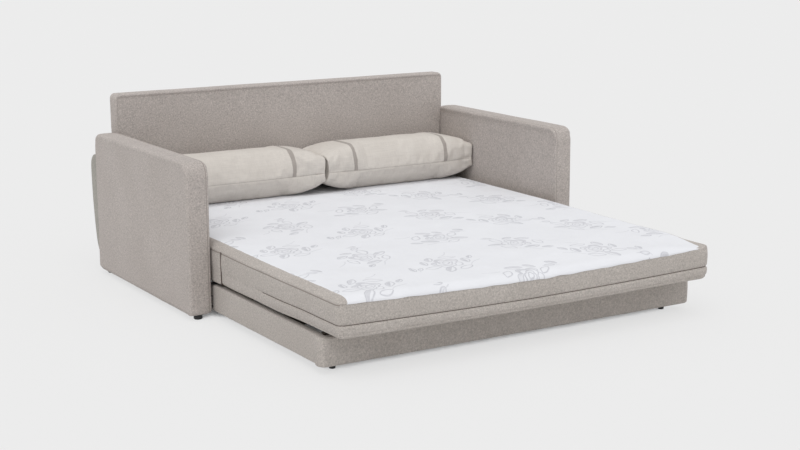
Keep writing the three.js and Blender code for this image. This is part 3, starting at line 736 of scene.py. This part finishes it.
# Mattress: two boxed sections under one quilted top that folds between them
mattress = {
    "cornerRadius": 0.027, "foldRadiusRear": 0.014, "foldRadiusFront": 0.006, "foldTrim": 0.002,
    "foldShade": 0.014, "lowRound": 0.012, "frontLowRound": 0.020, "topRound": 0.006,
    "bow": 0.012, "bowReach": 0.5,
    "step": 0.04, "heightStep": 0.02, "dents": ((0.16, 0.0016, 2.0), (0.05, 0.00064, 7.0)),
    # seam round the top, and how far it dips towards the front
    "seamTop": 0.2890, "tuck": 0.003, "tapeDrop": 0.0040, "tape": 0.0013, "tapeDepth": 0.0009,
    "frontDip": 0.0005, "frontDipFrom": -0.15,
    "sag": 0.0160, "sagPower": 1.3, "sagReach": 0.30, "sagShare": 0.6,
    # seams of the lower border, which fade out along the sides
    "seamHeight": 0.2100, "lowSeamHeight": 0.1745, "seamWidth": 0.0065, "seamDepth": 0.0045,
    "lowSeamDepth": 0.00225, "thread": 0.0024, "threadFrom": 0.4, "seamFadeFrom": -0.36, "seamFadeTo": -0.55,
    "swell": 0.0035,
    # in front of the arms the sides are fuller
    "sideFull": 0.0035, "fullFrom": -0.10, "fullReach": 0.25, "fullRise": 0.04,
    # the cloth hangs a little past the deck
    "hang": 0.0090, "hangIn": 0.018, "hangFade": 0.012, "hangLeast": 0.2, "hangFrom": -0.85,
    "hangReach": 0.35, "frontHang": 0.0025, "frontHangReach": 0.02,
}
frontLow, frontHigh = solidBox("front_mattress")
rearLow, rearHigh = solidBox("rear_mattress")
mattressHalf = frontHigh.x
foldY = (frontHigh.y + rearLow.y) / 2
# the CAD box of the front section holds its bow, so its straight front edge lies behind that box
straightFront = frontLow.y + mattress["bow"]


def frontBow(x, y):
    # The front edge bows outwards in the middle
    near = fade(y - straightFront, mattress["bowReach"])
    return -mattress["bow"] * (1 - (x / mattressHalf) ** 2) * near


def sideFullness(y):
    return mattress["sideFull"] * smoothStep((mattress["fullFrom"] - y) / mattress["fullReach"])


def seamDrop(x, y):
    # How far the seam round the top lies below its height at the fold
    forward = smoothStep((mattress["frontDipFrom"] - y) / (mattress["frontDipFrom"] - straightFront))
    near = fade(y - straightFront, mattress["sagReach"])
    middle = 1 - min(1.0, abs(x) / mattressHalf) ** mattress["sagPower"]
    return mattress["frontDip"] * forward + mattress["sag"] * middle * near


def buildCore(name, low, high, isFront, shape):
    radii = (shape["cornerRadius"], shape["foldRadiusFront"]) if isFront else (
        shape["foldRadiusRear"], shape["cornerRadius"])
    lowRound = shape["frontLowRound"] if isFront else shape["lowRound"]
    seams = [shape["seamHeight"], shape["lowSeamHeight"]]
    trim = shape["foldTrim"]
    low = Vector((low.x, low.y if isFront else low.y + trim, low.z))
    high = Vector((high.x, high.y - trim if isFront else high.y, shape["seamTop"] + shape["tuck"]))
    tapeTop = shape["seamTop"] - shape["tapeDrop"]
    heights = [place for seam in seams for place in seamGaps(seam, shape["seamWidth"], shape["thread"])]
    corners = cornerGaps(shape["cornerRadius"], 6)
    bm, rest = latticeBlock([
        spread(low.x, high.x, shape["step"], corners, corners),
        spread(low.y, high.y, shape["step"], cornerGaps(radii[0], 5), cornerGaps(radii[1], 5)),
        spread(low.z, high.z, shape["heightStep"], edgeGaps(lowRound, 5), edgeGaps(shape["topRound"], 3),
               heights + [tapeTop, tapeTop - shape["tape"]]),
    ])
    shapeSlab(bm, low, high, 2, radii, (lowRound, shape["topRound"]))

    def atSide(place):
        return abs(place.x) > mattressHalf - hair

    def seamStrength(place):
        if not isFront or place.y > high.y - hair:
            return 0.0
        if atSide(place):
            fading = shape["seamFadeFrom"] - shape["seamFadeTo"]
            return smoothStep((shape["seamFadeFrom"] - place.y) / fading)
        return 1.0

    def relief(place):
        if not (atSide(place) or place.y < low.y + hair or place.y > high.y - hair):
            return 0.0
        strength = seamStrength(place)
        total = unevenness(place, shape["dents"])
        total += grooveAt(place.z, seams[0], shape["seamWidth"], shape["seamDepth"]) * strength
        total += grooveAt(place.z, seams[1], shape["seamWidth"], shape["lowSeamDepth"]) * strength
        total += grooveAt(place.z, tapeTop, shape["seamWidth"], shape["tapeDepth"])
        if isFront and atSide(place):
            total += sideFullness(place.y) * smoothStep((place.z - low.z) / shape["fullRise"])
        total += swell(place.z, seams[0], high.z, shape["swell"])
        total += swell(place.z, seams[1], seams[0], shape["swell"] * strength)
        return total

    moveAlongNormals(bm, rest, relief)
    for vert in bm.verts:
        place = rest[vert.index]
        share = (place.z - low.z) / (high.z - low.z)
        vert.co.z -= seamDrop(place.x, place.y) * share ** shape["sagShare"]
        nearSide = smoothStep((abs(place.x) - mattressHalf + shape["hangIn"]) / shape["hangFade"])
        forward = smoothStep((place.y - shape["hangFrom"]) / shape["hangReach"])
        hang = shape["hang"] * (shape["hangLeast"] + (1 - shape["hangLeast"]) * forward)
        vert.co.z -= hang * (1 - share) * nearSide
        if isFront and place.y < low.y + shape["frontHangReach"]:
            vert.co.z -= shape["frontHang"] * (1 - share) * (1 - nearSide)
        vert.co.y += frontBow(place.x, place.y) if isFront else 0.0
    paintFaces(bm, rest, 1, lambda place: (
        abs(place.z - seams[0]) < shape["thread"] / 2 and seamStrength(place) > shape["threadFrom"]))
    if not isFront:
        # painted shade: a dark strip on the corner that faces the other section, standing for the shade in
        # the fold gap
        paintFaces(bm, rest, 1, lambda place: (
            place.y < low.y + hair and abs(place.x) > mattressHalf - shape["foldShade"]))
    # the tape seam along the sides: thread, darker also as painted shade of the seam's shadow
    paintFaces(bm, rest, 2, lambda place: tapeTop - shape["tape"] < place.z < tapeTop and atSide(place))
    core = finishPiece(name, bm, [lowCloth, seamDarkAndFoldShade, seamSoftAndShade], "front_section" if isFront else "sofa_frame")
    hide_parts("front_mattress" if isFront else "rear_mattress")


buildCore("front_section_cover", Vector((frontLow.x, straightFront, frontLow.z)), frontHigh, True, mattress)
buildCore("rear_section_cover", rearLow, rearHigh, False, mattress)
print("mattress sections built")

# Quilted top over both sections: cloth borders at the sides, white ticking between them
topShape = {
    "border": 0.031, "borderCurve": 1.7, "borderStep": 0.005, "whiteRadius": 0.026, "step": 0.016,
    "tickStep": 0.0016, "tickRise": 0.0022, "tickReach": 0.06,
    "edgeHeights": [(0.95, 0.3140), (0.55, 0.3150), (0.0, 0.3150), (-0.28, 0.3112), (-0.45, 0.3092),
                    (-0.62, 0.3078), (-0.85, 0.3090), (-1.10, 0.3095)],
    "frontReach": 0.040, "rearSteeper": 1.5, "endGap": 0.004, "under": 0.0015, "foldReach": 0.03,
    # quilting: dents, and the pitch and depth of the stitched waves
    "dents": ((0.12, 0.0018, 0.0), (0.04, 0.0012, 4.0)), "quiltPitch": 0.052, "quiltWave": 0.0006,
    # small scallops along the border, and a slower wander
    "scallop": 0.0045, "scallopPitch": 0.045, "scallopReach": 0.014, "wander": 1.2, "wanderSize": 0.07,
    "fullReach": 0.06,
    # the front edge hangs over in shallow scallops
    "overhang": 0.0025, "frontScallop": 0.0040, "frontScallopSize": 0.06, "overhangReach": 0.004,
    "cornerClear": 0.12,
    # the soft corner on the right
    "cornerReach": 0.25, "cornerDrop": 0.9, "cornerInReach": 0.14, "cornerIn": 0.010, "cornerInWidth": 0.045,
    # pressed level under the bolsters
    "pressBefore": 0.02, "pressReach": 0.05, "pressGap": 0.0005,
}


def heightAlong(y, heights):
    for (y0, z0), (y1, z1) in zip(heights, heights[1:]):
        if y >= y1:
            return z0 + (z1 - z0) * smoothStep((y0 - y) / (y0 - y1))
    return heights[-1][1]


def buildTop(shape):
    rearEdge = rearHigh.y - shape["endGap"]
    half = mattressHalf
    border = shape["border"]
    fineX = [0.0, 0.001, 0.0035, 0.008, 0.014, 0.020, 0.026]
    fineX += [border + gap for gap in (-0.001, 0.001, 0.003, 0.007, 0.014, 0.026, 0.044, 0.064)]
    fineY = [0.0, 0.0008, 0.0025, 0.005, 0.009, 0.014, 0.020, 0.028, 0.038, 0.05, 0.064]
    foldPlaces = [foldY + side * gap for side in (-1, 1) for gap in (0.02, 0.012, 0.006, 0.002)]
    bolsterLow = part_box("left_bolster")[0][1]
    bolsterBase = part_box("left_bolster")[0][2]
    bm, rest = latticeBlock([
        spread(-half, half, shape["step"], fineX, fineX),
        spread(straightFront, rearEdge, shape["step"], fineY, fineY, foldPlaces),
        [0.0, 0.5, 1.0],
    ])

    def atCorner(x, y, reach):
        # the front corner on the right is worn softer than the one on the left
        away = math.hypot(half - x, y - straightFront)
        return fade(away, reach) if x > 0 else 0.0

    def nearBorder(x, reach):
        return fade(abs(half - abs(x) - border), reach)

    def topZ(x, y):
        sideGap = half - abs(x)
        seamZ = mattress["seamTop"] - seamDrop(x, y)
        full = heightAlong(y, shape["edgeHeights"]) - (mattress["seamTop"] - seamDrop(half, y))
        rise = full * (1 - (1 - min(1.0, sideGap / border)) ** shape["borderCurve"])
        inner = smoothStep((sideGap - border) / shape["borderStep"])
        far = smoothStep((sideGap - border) / shape["tickReach"])
        rise += shape["tickStep"] * inner + shape["tickRise"] * far
        pitch = shape["quiltPitch"]
        wave = abs(math.sin((x + y * 0.4) / pitch * math.pi)) * abs(math.sin((y - x * 0.3) / pitch * math.pi))
        rise += (unevenness(Vector((x, y, 0.0)), shape["dents"]) + shape["quiltWave"] * (wave - 0.5)) * inner
        frontGap = min(y - straightFront, (rearEdge - y) * shape["rearSteeper"])
        rise *= math.sqrt(max(0.0, 1 - (1 - min(1.0, frontGap / shape["frontReach"])) ** 2))
        rise *= 1 - shape["cornerDrop"] * atCorner(x, y, shape["cornerReach"])
        height = seamZ + rise
        under = smoothStep((y - bolsterLow + shape["pressBefore"]) / shape["pressReach"]) * inner
        return min(height, bolsterBase - shape["pressGap"]) * under + height * (1 - under)

    middleY = (straightFront + rearEdge) / 2
    for vert in bm.verts:
        x, y, level = rest[vert.index]
        under = mattress["seamTop"] - seamDrop(x, y) - shape["under"]
        px, py = roundCorner(x, y - middleY, half, (rearEdge - straightFront) / 2, mattress["cornerRadius"])
        scallop = abs(math.sin(y / shape["scallopPitch"] * math.pi)) - 0.5
        scallop += shape["wander"] * noise.noise(Vector((y / shape["wanderSize"], x * 3, 8.0)))
        full = sideFullness(y) * fade(half - abs(x), shape["fullReach"])
        aside = shape["scallop"] * scallop * nearBorder(x, shape["scallopReach"]) * 0.5 + full
        px += math.copysign(aside, x) if x else 0.0
        cornerIn = shape["cornerIn"] * atCorner(x, y, shape["cornerInReach"])
        px -= cornerIn * nearBorder(x, shape["cornerInWidth"])
        atFront = fade(y - straightFront, shape["overhangReach"])
        atFront *= 1 - atCorner(x, y, shape["cornerClear"])
        py -= shape["overhang"] * atFront
        frontWave = 0.5 + noise.noise(Vector((x / shape["frontScallopSize"], 3.0, 5.0)))
        under -= shape["frontScallop"] * atFront * frontWave
        vert.co = (px, py + middleY + frontBow(x, y), under + (topZ(x, y) - under) * level)

    def onTicking(place):
        # all but the borders and the outside of the soft corner
        radius = shape["whiteRadius"]
        overX = place.x - (half - border - radius)
        overY = straightFront + radius - place.y
        outside = min(overX, overY) > 0 and math.hypot(overX, overY) > radius
        return abs(place.x) < half - border and not outside

    paintFaces(bm, rest, 1, onTicking)
    piece = finishPiece("mattress_top", bm, [lowCloth, ticking])
    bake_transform(piece)
    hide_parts("front_ticking", "rear_ticking")


buildTop(topShape)
print("mattress top built")

# Base that pulls out: one cover round its front and sides
baseShape = {
    "cornerRadius": 0.025, "edgeRound": 0.008, "thickness": 0.030, "step": 0.04, "heightStep": 0.02,
    "puff": 0.0045, "crown": 0.0015, "swell": 0.0005, "low": 0.0015,
    "dents": ((0.18, 0.0010, 6.0), (0.05, 0.0004, 1.0)),
    # only the front, which stays ahead of the arms, stands proud of the solid, and more so at its ends
    "fullTo": 0.064, "fullFade": 0.035, "leftFull": 0.0070, "rightFull": 0.0130,
    "endFrom": 0.7, "endReach": 0.12,
    "fullGaps": (0.030, 0.040, 0.050, 0.058, 0.064, 0.072),
}


def buildBase(shape):
    low, high = solidBox("base_front")
    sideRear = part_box("base_left_side")[1][1]
    half = high.x
    radius = shape["cornerRadius"]
    sideRun = sideRear - (low.y + radius)
    frontRun = 2 * (half - radius)
    arc = radius * math.pi / 2
    total = 2 * sideRun + 2 * arc + frontRun
    marks = [sideRun, sideRun + arc, sideRun + arc + frontRun, sideRun + 2 * arc + frontRun]
    arcPlaces = [mark + arc * k / 8 for mark in (marks[0], marks[2]) for k in range(9)]
    nearFront = [sideRear - low.y - gap for gap in shape["fullGaps"]]
    nearFront += [total - place for place in nearFront]
    rounds = edgeGaps(shape["edgeRound"], 4)
    ends = (0.0, 0.002, 0.006)
    bm, rest = latticeBlock([
        spread(0.0, total, shape["step"], ends, ends, arcPlaces + nearFront),
        [0.0, shape["edgeRound"] * 0.3, shape["edgeRound"], shape["thickness"] * 0.6, shape["thickness"]],
        spread(low.z, high.z, shape["heightStep"], rounds, rounds),
    ])

    def onPath(s):
        # point and outward direction at distance s along the cover, from the left side round to the right
        if s < marks[0]:
            return Vector((-half, sideRear - s)), Vector((-1, 0))
        if s < marks[1] or marks[2] <= s < marks[3]:
            side = -1 if s < marks[1] else 1
            turned = (s - marks[0 if side < 0 else 2]) / radius + math.pi * (1.0 if side < 0 else 1.5)
            out = Vector((math.cos(turned), math.sin(turned)))
            return Vector((side * (half - radius), low.y + radius)) + out * radius, out
        if s < marks[2]:
            return Vector((-half + radius + s - marks[1], low.y)), Vector((0, -1))
        return Vector((half, low.y + radius + s - marks[3])), Vector((1, 0))

    for vert in bm.verts:
        s, depth, z = rest[vert.index]
        point, out = onPath(s)
        inset = arcInset(shape["edgeRound"] - min(z - low.z, high.z - z), shape["edgeRound"])
        share = 1 - depth / shape["thickness"]
        here = Vector((point.x, point.y, z))
        ahead = smoothStep((low.y + shape["fullTo"] - point.y) / shape["fullFade"])
        bulge = (shape["puff"] + swell(z, low.z, high.z, shape["crown"])) * ahead + shape["swell"]
        bulge += unevenness(here, shape["dents"])
        atEnd = smoothStep((abs(point.x) - shape["endFrom"]) / shape["endReach"])
        aside = shape["leftFull" if point.x < 0 else "rightFull"] * ahead * atEnd
        flat = point - out * (depth + (inset - bulge) * share)
        lower = shape["low"] * (high.z - z) / (high.z - low.z)
        vert.co = (flat.x + math.copysign(aside, flat.x), flat.y, z - lower)
    piece = finishPiece("base_padding", bm, [lowCloth], "bed_base")
    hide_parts("base_front", "base_left_side", "base_right_side")


buildBase(baseShape)
print("base built")

# Bolsters: cloth sewn along the front and the back, drawn in to a short upright seam at each end
bolsterShape = {
    "round": 12, "step": 0.0095, "seamRow": -2, "crown": 0.012, "start": 0.965,
    # how square it is above the seam, below it and at its ends
    "squareness": 2.25, "lowSquareness": 2.9, "endSquareness": 8.0,
    # how it tapers towards its ends
    "topTaper": 0.23, "shortTaper": 0.12, "lowTaper": 0.19, "topDrop": 0.37, "lowDrop": 0.50,
    "taperCurve": 1.6, "endDepth": 1.07, "endDish": 0.012, "meetReach": 0.0065,
    "fineDents": 0.012, "dents": 0.02,
    # cloth: folds from the ends, puckers along the seams, taupe bands
    "crease": 0.0034, "creaseReach": 0.12, "creaseSize": 0.09, "pucker": 0.0016, "puckerReach": 0.045,
    "puckerSize": 0.022, "seamSink": 0.0026, "seamLine": 0.0006,
    "stripeAt": 0.25, "stripeHalf": 0.0100, "stripeRise": 0.0007,
    # blowing up, then room round the solid and how flat it is pressed
    "pressure": 4.0, "grow": -0.03, "frames": 16, "cap": 0.010,
    "edgeHold": 1.0, "endHold": 0.3, "seamHold": 0.8,
    "topRoom": 0.004, "frontRoom": 0.007, "rearRoom": 0.0005, "pressed": 0.007, "restDents": 0.0004,
    "cloth": {
        "quality": 6, "mass": 0.25, "tension_stiffness": 18, "compression_stiffness": 12,
        "shear_stiffness": 6, "bending_stiffness": 0.15, "pin_stiffness": 2.0,
    },
}


def inflate(bm, held, shape):
    # Blows the cushion up with the cloth simulation, its seams held
    bag = objectFrom(bm, "inflating")
    mesh = bag.data
    scene = bpy.context.scene
    pins = bag.vertex_groups.new(name="held")
    for index, weight in held.items():
        pins.add([index], weight, "REPLACE")
    cloth = bag.modifiers.new("cloth", "CLOTH")
    settings = cloth.settings
    for name, value in shape["cloth"].items():
        setattr(settings, name, value)
    settings.use_pressure = True
    settings.uniform_pressure_force = shape["pressure"]
    settings.shrink_min = shape["grow"]
    settings.vertex_group_mass = "held"
    settings.effector_weights.gravity = 0
    cloth.collision_settings.use_self_collision = False
    for frameNumber in range(1, shape["frames"] + 1):
        scene.frame_set(frameNumber)
    blown = bag.evaluated_get(bpy.context.evaluated_depsgraph_get())
    places = [vert.co.copy() for vert in blown.data.vertices]
    scene.frame_set(1)
    for vert, place in zip(bm.verts, places):
        move = place - vert.co
        if move.length > shape["cap"]:
            move.length = shape["cap"]
        vert.co += move
    bpy.data.objects.remove(bag)
    bpy.data.meshes.remove(mesh)


def buildBolster(sideName, seed, shape):
    low, high = solidBox(f"{sideName}_bolster")
    middle = (low + high) / 2
    half = (high - low) / 2
    stripes = [middle.x + side * shape["stripeAt"] + edge * shape["stripeHalf"]
               for side in (-1, 1) for edge in (-1, 1)]
    steps = shape["round"]
    turns = [math.tan(math.pi / 4 * k / steps) for k in range(-steps, steps + 1)]
    seamB = turns[steps + shape["seamRow"]]
    bm, rest = latticeBlock([spread(low.x, high.x, shape["step"], (0.0,), (0.0,), stripes), turns, turns])
    for vert in bm.verts:
        x, a, b = rest[vert.index]
        along = (x - middle.x) / half.x
        # the outer end of the left one, behind the arm, is fuller
        topTaper = shape["shortTaper"] if sideName == "left" and along < 0 else shape["topTaper"]
        taper, drop = (topTaper, shape["topDrop"]) if b > 0 else (shape["lowTaper"], shape["lowDrop"])
        out = max(0.0, (abs(x - middle.x) - (half.x - taper)) / taper)
        tall = 1 - shape["crown"] * along * along - drop * out ** shape["taperCurve"]
        deep = 1 - shape["crown"] * along * along - (1 - shape["endDepth"]) * out ** 2
        body = shape["squareness"] if b > 0 else shape["lowSquareness"]
        power = body + (shape["endSquareness"] - body) * out
        length = (abs(a) ** power + abs(b) ** power) ** (1 / power) or 1.0
        reach = max(abs(a), abs(b)) / length * (shape["start"] + (1 - shape["start"]) * out)
        # the two meet in the middle of the bed
        meets = along > 0 if sideName == "left" else along < 0
        px = x + (math.copysign(shape["meetReach"] * out, along) if meets else 0.0)
        if abs(along) > surface:
            # the end: corners stand out, the middle of its edge is drawn in
            edge = max(abs(a), abs(b))
            px -= math.copysign(shape["endDish"] * (1 - edge * abs(b)), along)
        wobble = Vector((x / 0.05 + seed * 7.3, a * 2.2, b * 2.2))
        push = 1 + shape["fineDents"] * noise.noise(wobble) + shape["dents"] * noise.noise(wobble * 0.35)
        vert.co = (px, middle.y + a * reach * half.y * deep * push,
                   middle.z + b * reach * half.z * tall * push)

    meet = shape["meetReach"]
    ends = (low.x, high.x + meet) if sideName == "left" else (low.x - meet, high.x)

    def onSeam(place):
        return abs(place.z - seamB) < hair and abs(place.y) > surface

    def onEnd(place):
        return abs(place.x - middle.x) > half.x - hair

    held = {}
    for index, place in enumerate(rest):
        if onEnd(place):
            held[index] = shape["edgeHold" if max(abs(place.y), abs(place.z)) > surface else "endHold"]
        elif onSeam(place):
            held[index] = shape["seamHold"]
    inflate(bm, held, shape)
    # drawn to its measured height and depth, and pressed flat where it rests
    room = ((low.y - shape["frontRoom"], high.y - shape["rearRoom"]),
            (low.z - shape["pressed"], high.z + shape["topRoom"]))
    for axis, (nearest, farthest) in zip((1, 2), room):
        least, most = min(vert.co[axis] for vert in bm.verts), max(vert.co[axis] for vert in bm.verts)
        for vert in bm.verts:
            share = (vert.co[axis] - least) / (most - least)
            vert.co[axis] = nearest + (farthest - nearest) * share

    def creases(place):
        # folds that run in from the ends
        away = half.x - abs(place.x - middle.x)
        near = 0.0 if onEnd(place) else fade(away, shape["creaseReach"])
        at = Vector((place.x / shape["creaseSize"], place.y * 3.1 + seed * 5, place.z * 3.1))
        folds = shape["crease"] * near * noise.noise(at)
        # and small puckers along the long seams
        fromSeam = abs(place.z - seamB) * half.z
        pull = fade(fromSeam, shape["puckerReach"]) if abs(place.y) > 0.99 else 0.0
        at = Vector((place.x / shape["puckerSize"], place.z * 0.6, seed * 3.0))
        return folds + shape["pucker"] * pull * noise.noise(at)

    def relief(place):
        if onSeam(place):
            return -shape["seamSink"]
        onStripe = place.z > seamB and any(abs(place.x - stripe) < hair for stripe in stripes)
        return creases(place) + (shape["stripeRise"] if onStripe else 0.0)

    moveAlongNormals(bm, rest, relief)
    for vert in bm.verts:
        vert.co.z = max(vert.co.z, low.z + shape["restDents"] * (1 + noise.noise(vert.co * 20)))
        vert.co.x = min(max(vert.co.x, ends[0]), ends[1])
    paintFaces(bm, rest, 1, lambda place: place.z > seamB and not onEnd(place) and any(
        abs(place.x - middle.x - side * shape["stripeAt"]) < shape["stripeHalf"] for side in (-1, 1)))
    sewn = [edge for edge in bm.edges if all(onSeam(rest[vert.index]) for vert in edge.verts)]
    bmesh.ops.bevel(bm, geom=sewn, offset=shape["seamLine"], offset_type="OFFSET", segments=1, profile=0.5,
                    affect="EDGES", material=2)
    piece = finishPiece(f"{sideName}_bolster_cushion", bm, [linen, stripeTape, linenSeam],
                        f"{sideName}_cushion")
    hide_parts(f"{sideName}_bolster")


buildBolster("left", 1, bolsterShape)
buildBolster("right", 2, bolsterShape)
print("bolsters built")

# Timber, metal and plastic of the frame keep their shape and get their finish
finishes = [  # material, and the words in the names of the pieces it goes on
    # the base's timber takes the darkened pine, as painted shade
    (timberDarkenedForShade, ("base_front_cleat", "base_rear_rail", "base_tie", "corner_block")),
    (timberUpright, ("arm_frame", "back_panel_frame", "rear_body_frame")),
    (timberAcross, ("rear_rail", "front_crossbar")),
    (timberDeep, ("slat_",)),
    (steel, ("channel", "crossbar_bracket")),
    (zinc, ("roller_axle",)),
    (nylon, ("left_roller", "right_roller")),
    (blackPlastic, ("glide", "base_left_foot", "base_right_foot")),
]
for name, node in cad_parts.items():
    finish = next((material for material, words in finishes if any(word in name for word in words)), None)
    if finish:
        node.data.materials.clear()
        node.data.materials.append(finish)
print("frame finished")

# Floor and light
studio = {
    "floor": rgb(235, 235, 235), "size": 60.0, "seenShare": 0.80, "skyLight": 0.70,
    "openReach": 1.5, "openFrom": 0.01, "openTo": 0.05,
    "sun": 1.25, "sunSoftness": 60.0, "sunAim": (0.27, 0.36, -0.89),
}


def seenDirectly(tree):
    rays = addNode(tree, "ShaderNodeLightPath")
    return calc("MAXIMUM", wire(rays.outputs["Is Camera Ray"]), wire(rays.outputs["Is Glossy Ray"]))


def buildStudio(setup):
    material, shader, coords = newMaterial("studioFloor", 1.0)
    tree = coords.tree
    tone = tones(noiseAt(coords, 30.0), setup["floor"], (0.3, 0.998), (0.7, 1.0))
    putAll(shader, {"Base Color": tone, "Specular IOR Level": 0.0})
    # seen by the camera, the floor is part pale backdrop and part lit floor that keeps the shadow
    paleColour = (*setup["floor"], 1.0)
    backdrop = output(tree, "ShaderNodeEmission", {"Color": paleColour, "Strength": 1.0})
    closeBy = output(tree, "ShaderNodeAmbientOcclusion", {"Distance": setup["openReach"]}, "AO", samples=16)
    openFloor = clamped((closeBy - setup["openFrom"]) / (setup["openTo"] - setup["openFrom"]))
    seen = seenDirectly(tree) * (openFloor * setup["seenShare"])
    mix = output(tree, "ShaderNodeMixShader", {0: seen, 1: shader.outputs[0], 2: backdrop})
    putIn(tree.nodes["Material Output"].inputs["Surface"], mix)
    bm = bmesh.new()
    bmesh.ops.create_grid(bm, x_segments=8, y_segments=8, size=setup["size"])
    floor = objectFrom(bm, "studioFloor", [material])
    bm.free()

    world = bpy.data.worlds.new("studioSky")
    bpy.context.scene.world = world
    world.use_nodes = True
    tree = world.node_tree
    tree.nodes.clear()
    light = output(tree, "ShaderNodeBackground", {"Color": (1, 1, 1, 1), "Strength": setup["skyLight"]})
    sky = output(tree, "ShaderNodeBackground", {"Color": paleColour, "Strength": 1.0})
    mix = output(tree, "ShaderNodeMixShader", {0: seenDirectly(tree), 1: light, 2: sky})
    addNode(tree, "ShaderNodeOutputWorld", {"Surface": mix})

    data = bpy.data.lights.new("keyLight", "SUN")
    data.energy = setup["sun"]
    data.angle = math.radians(setup["sunSoftness"])
    key = bpy.data.objects.new("keyLight", data)
    key.rotation_euler = Vector(setup["sunAim"]).to_track_quat("-Z", "Y").to_euler()
    bpy.context.scene.collection.objects.link(key)


buildStudio(studio)
bpy.context.scene.view_settings.view_transform = "Standard"
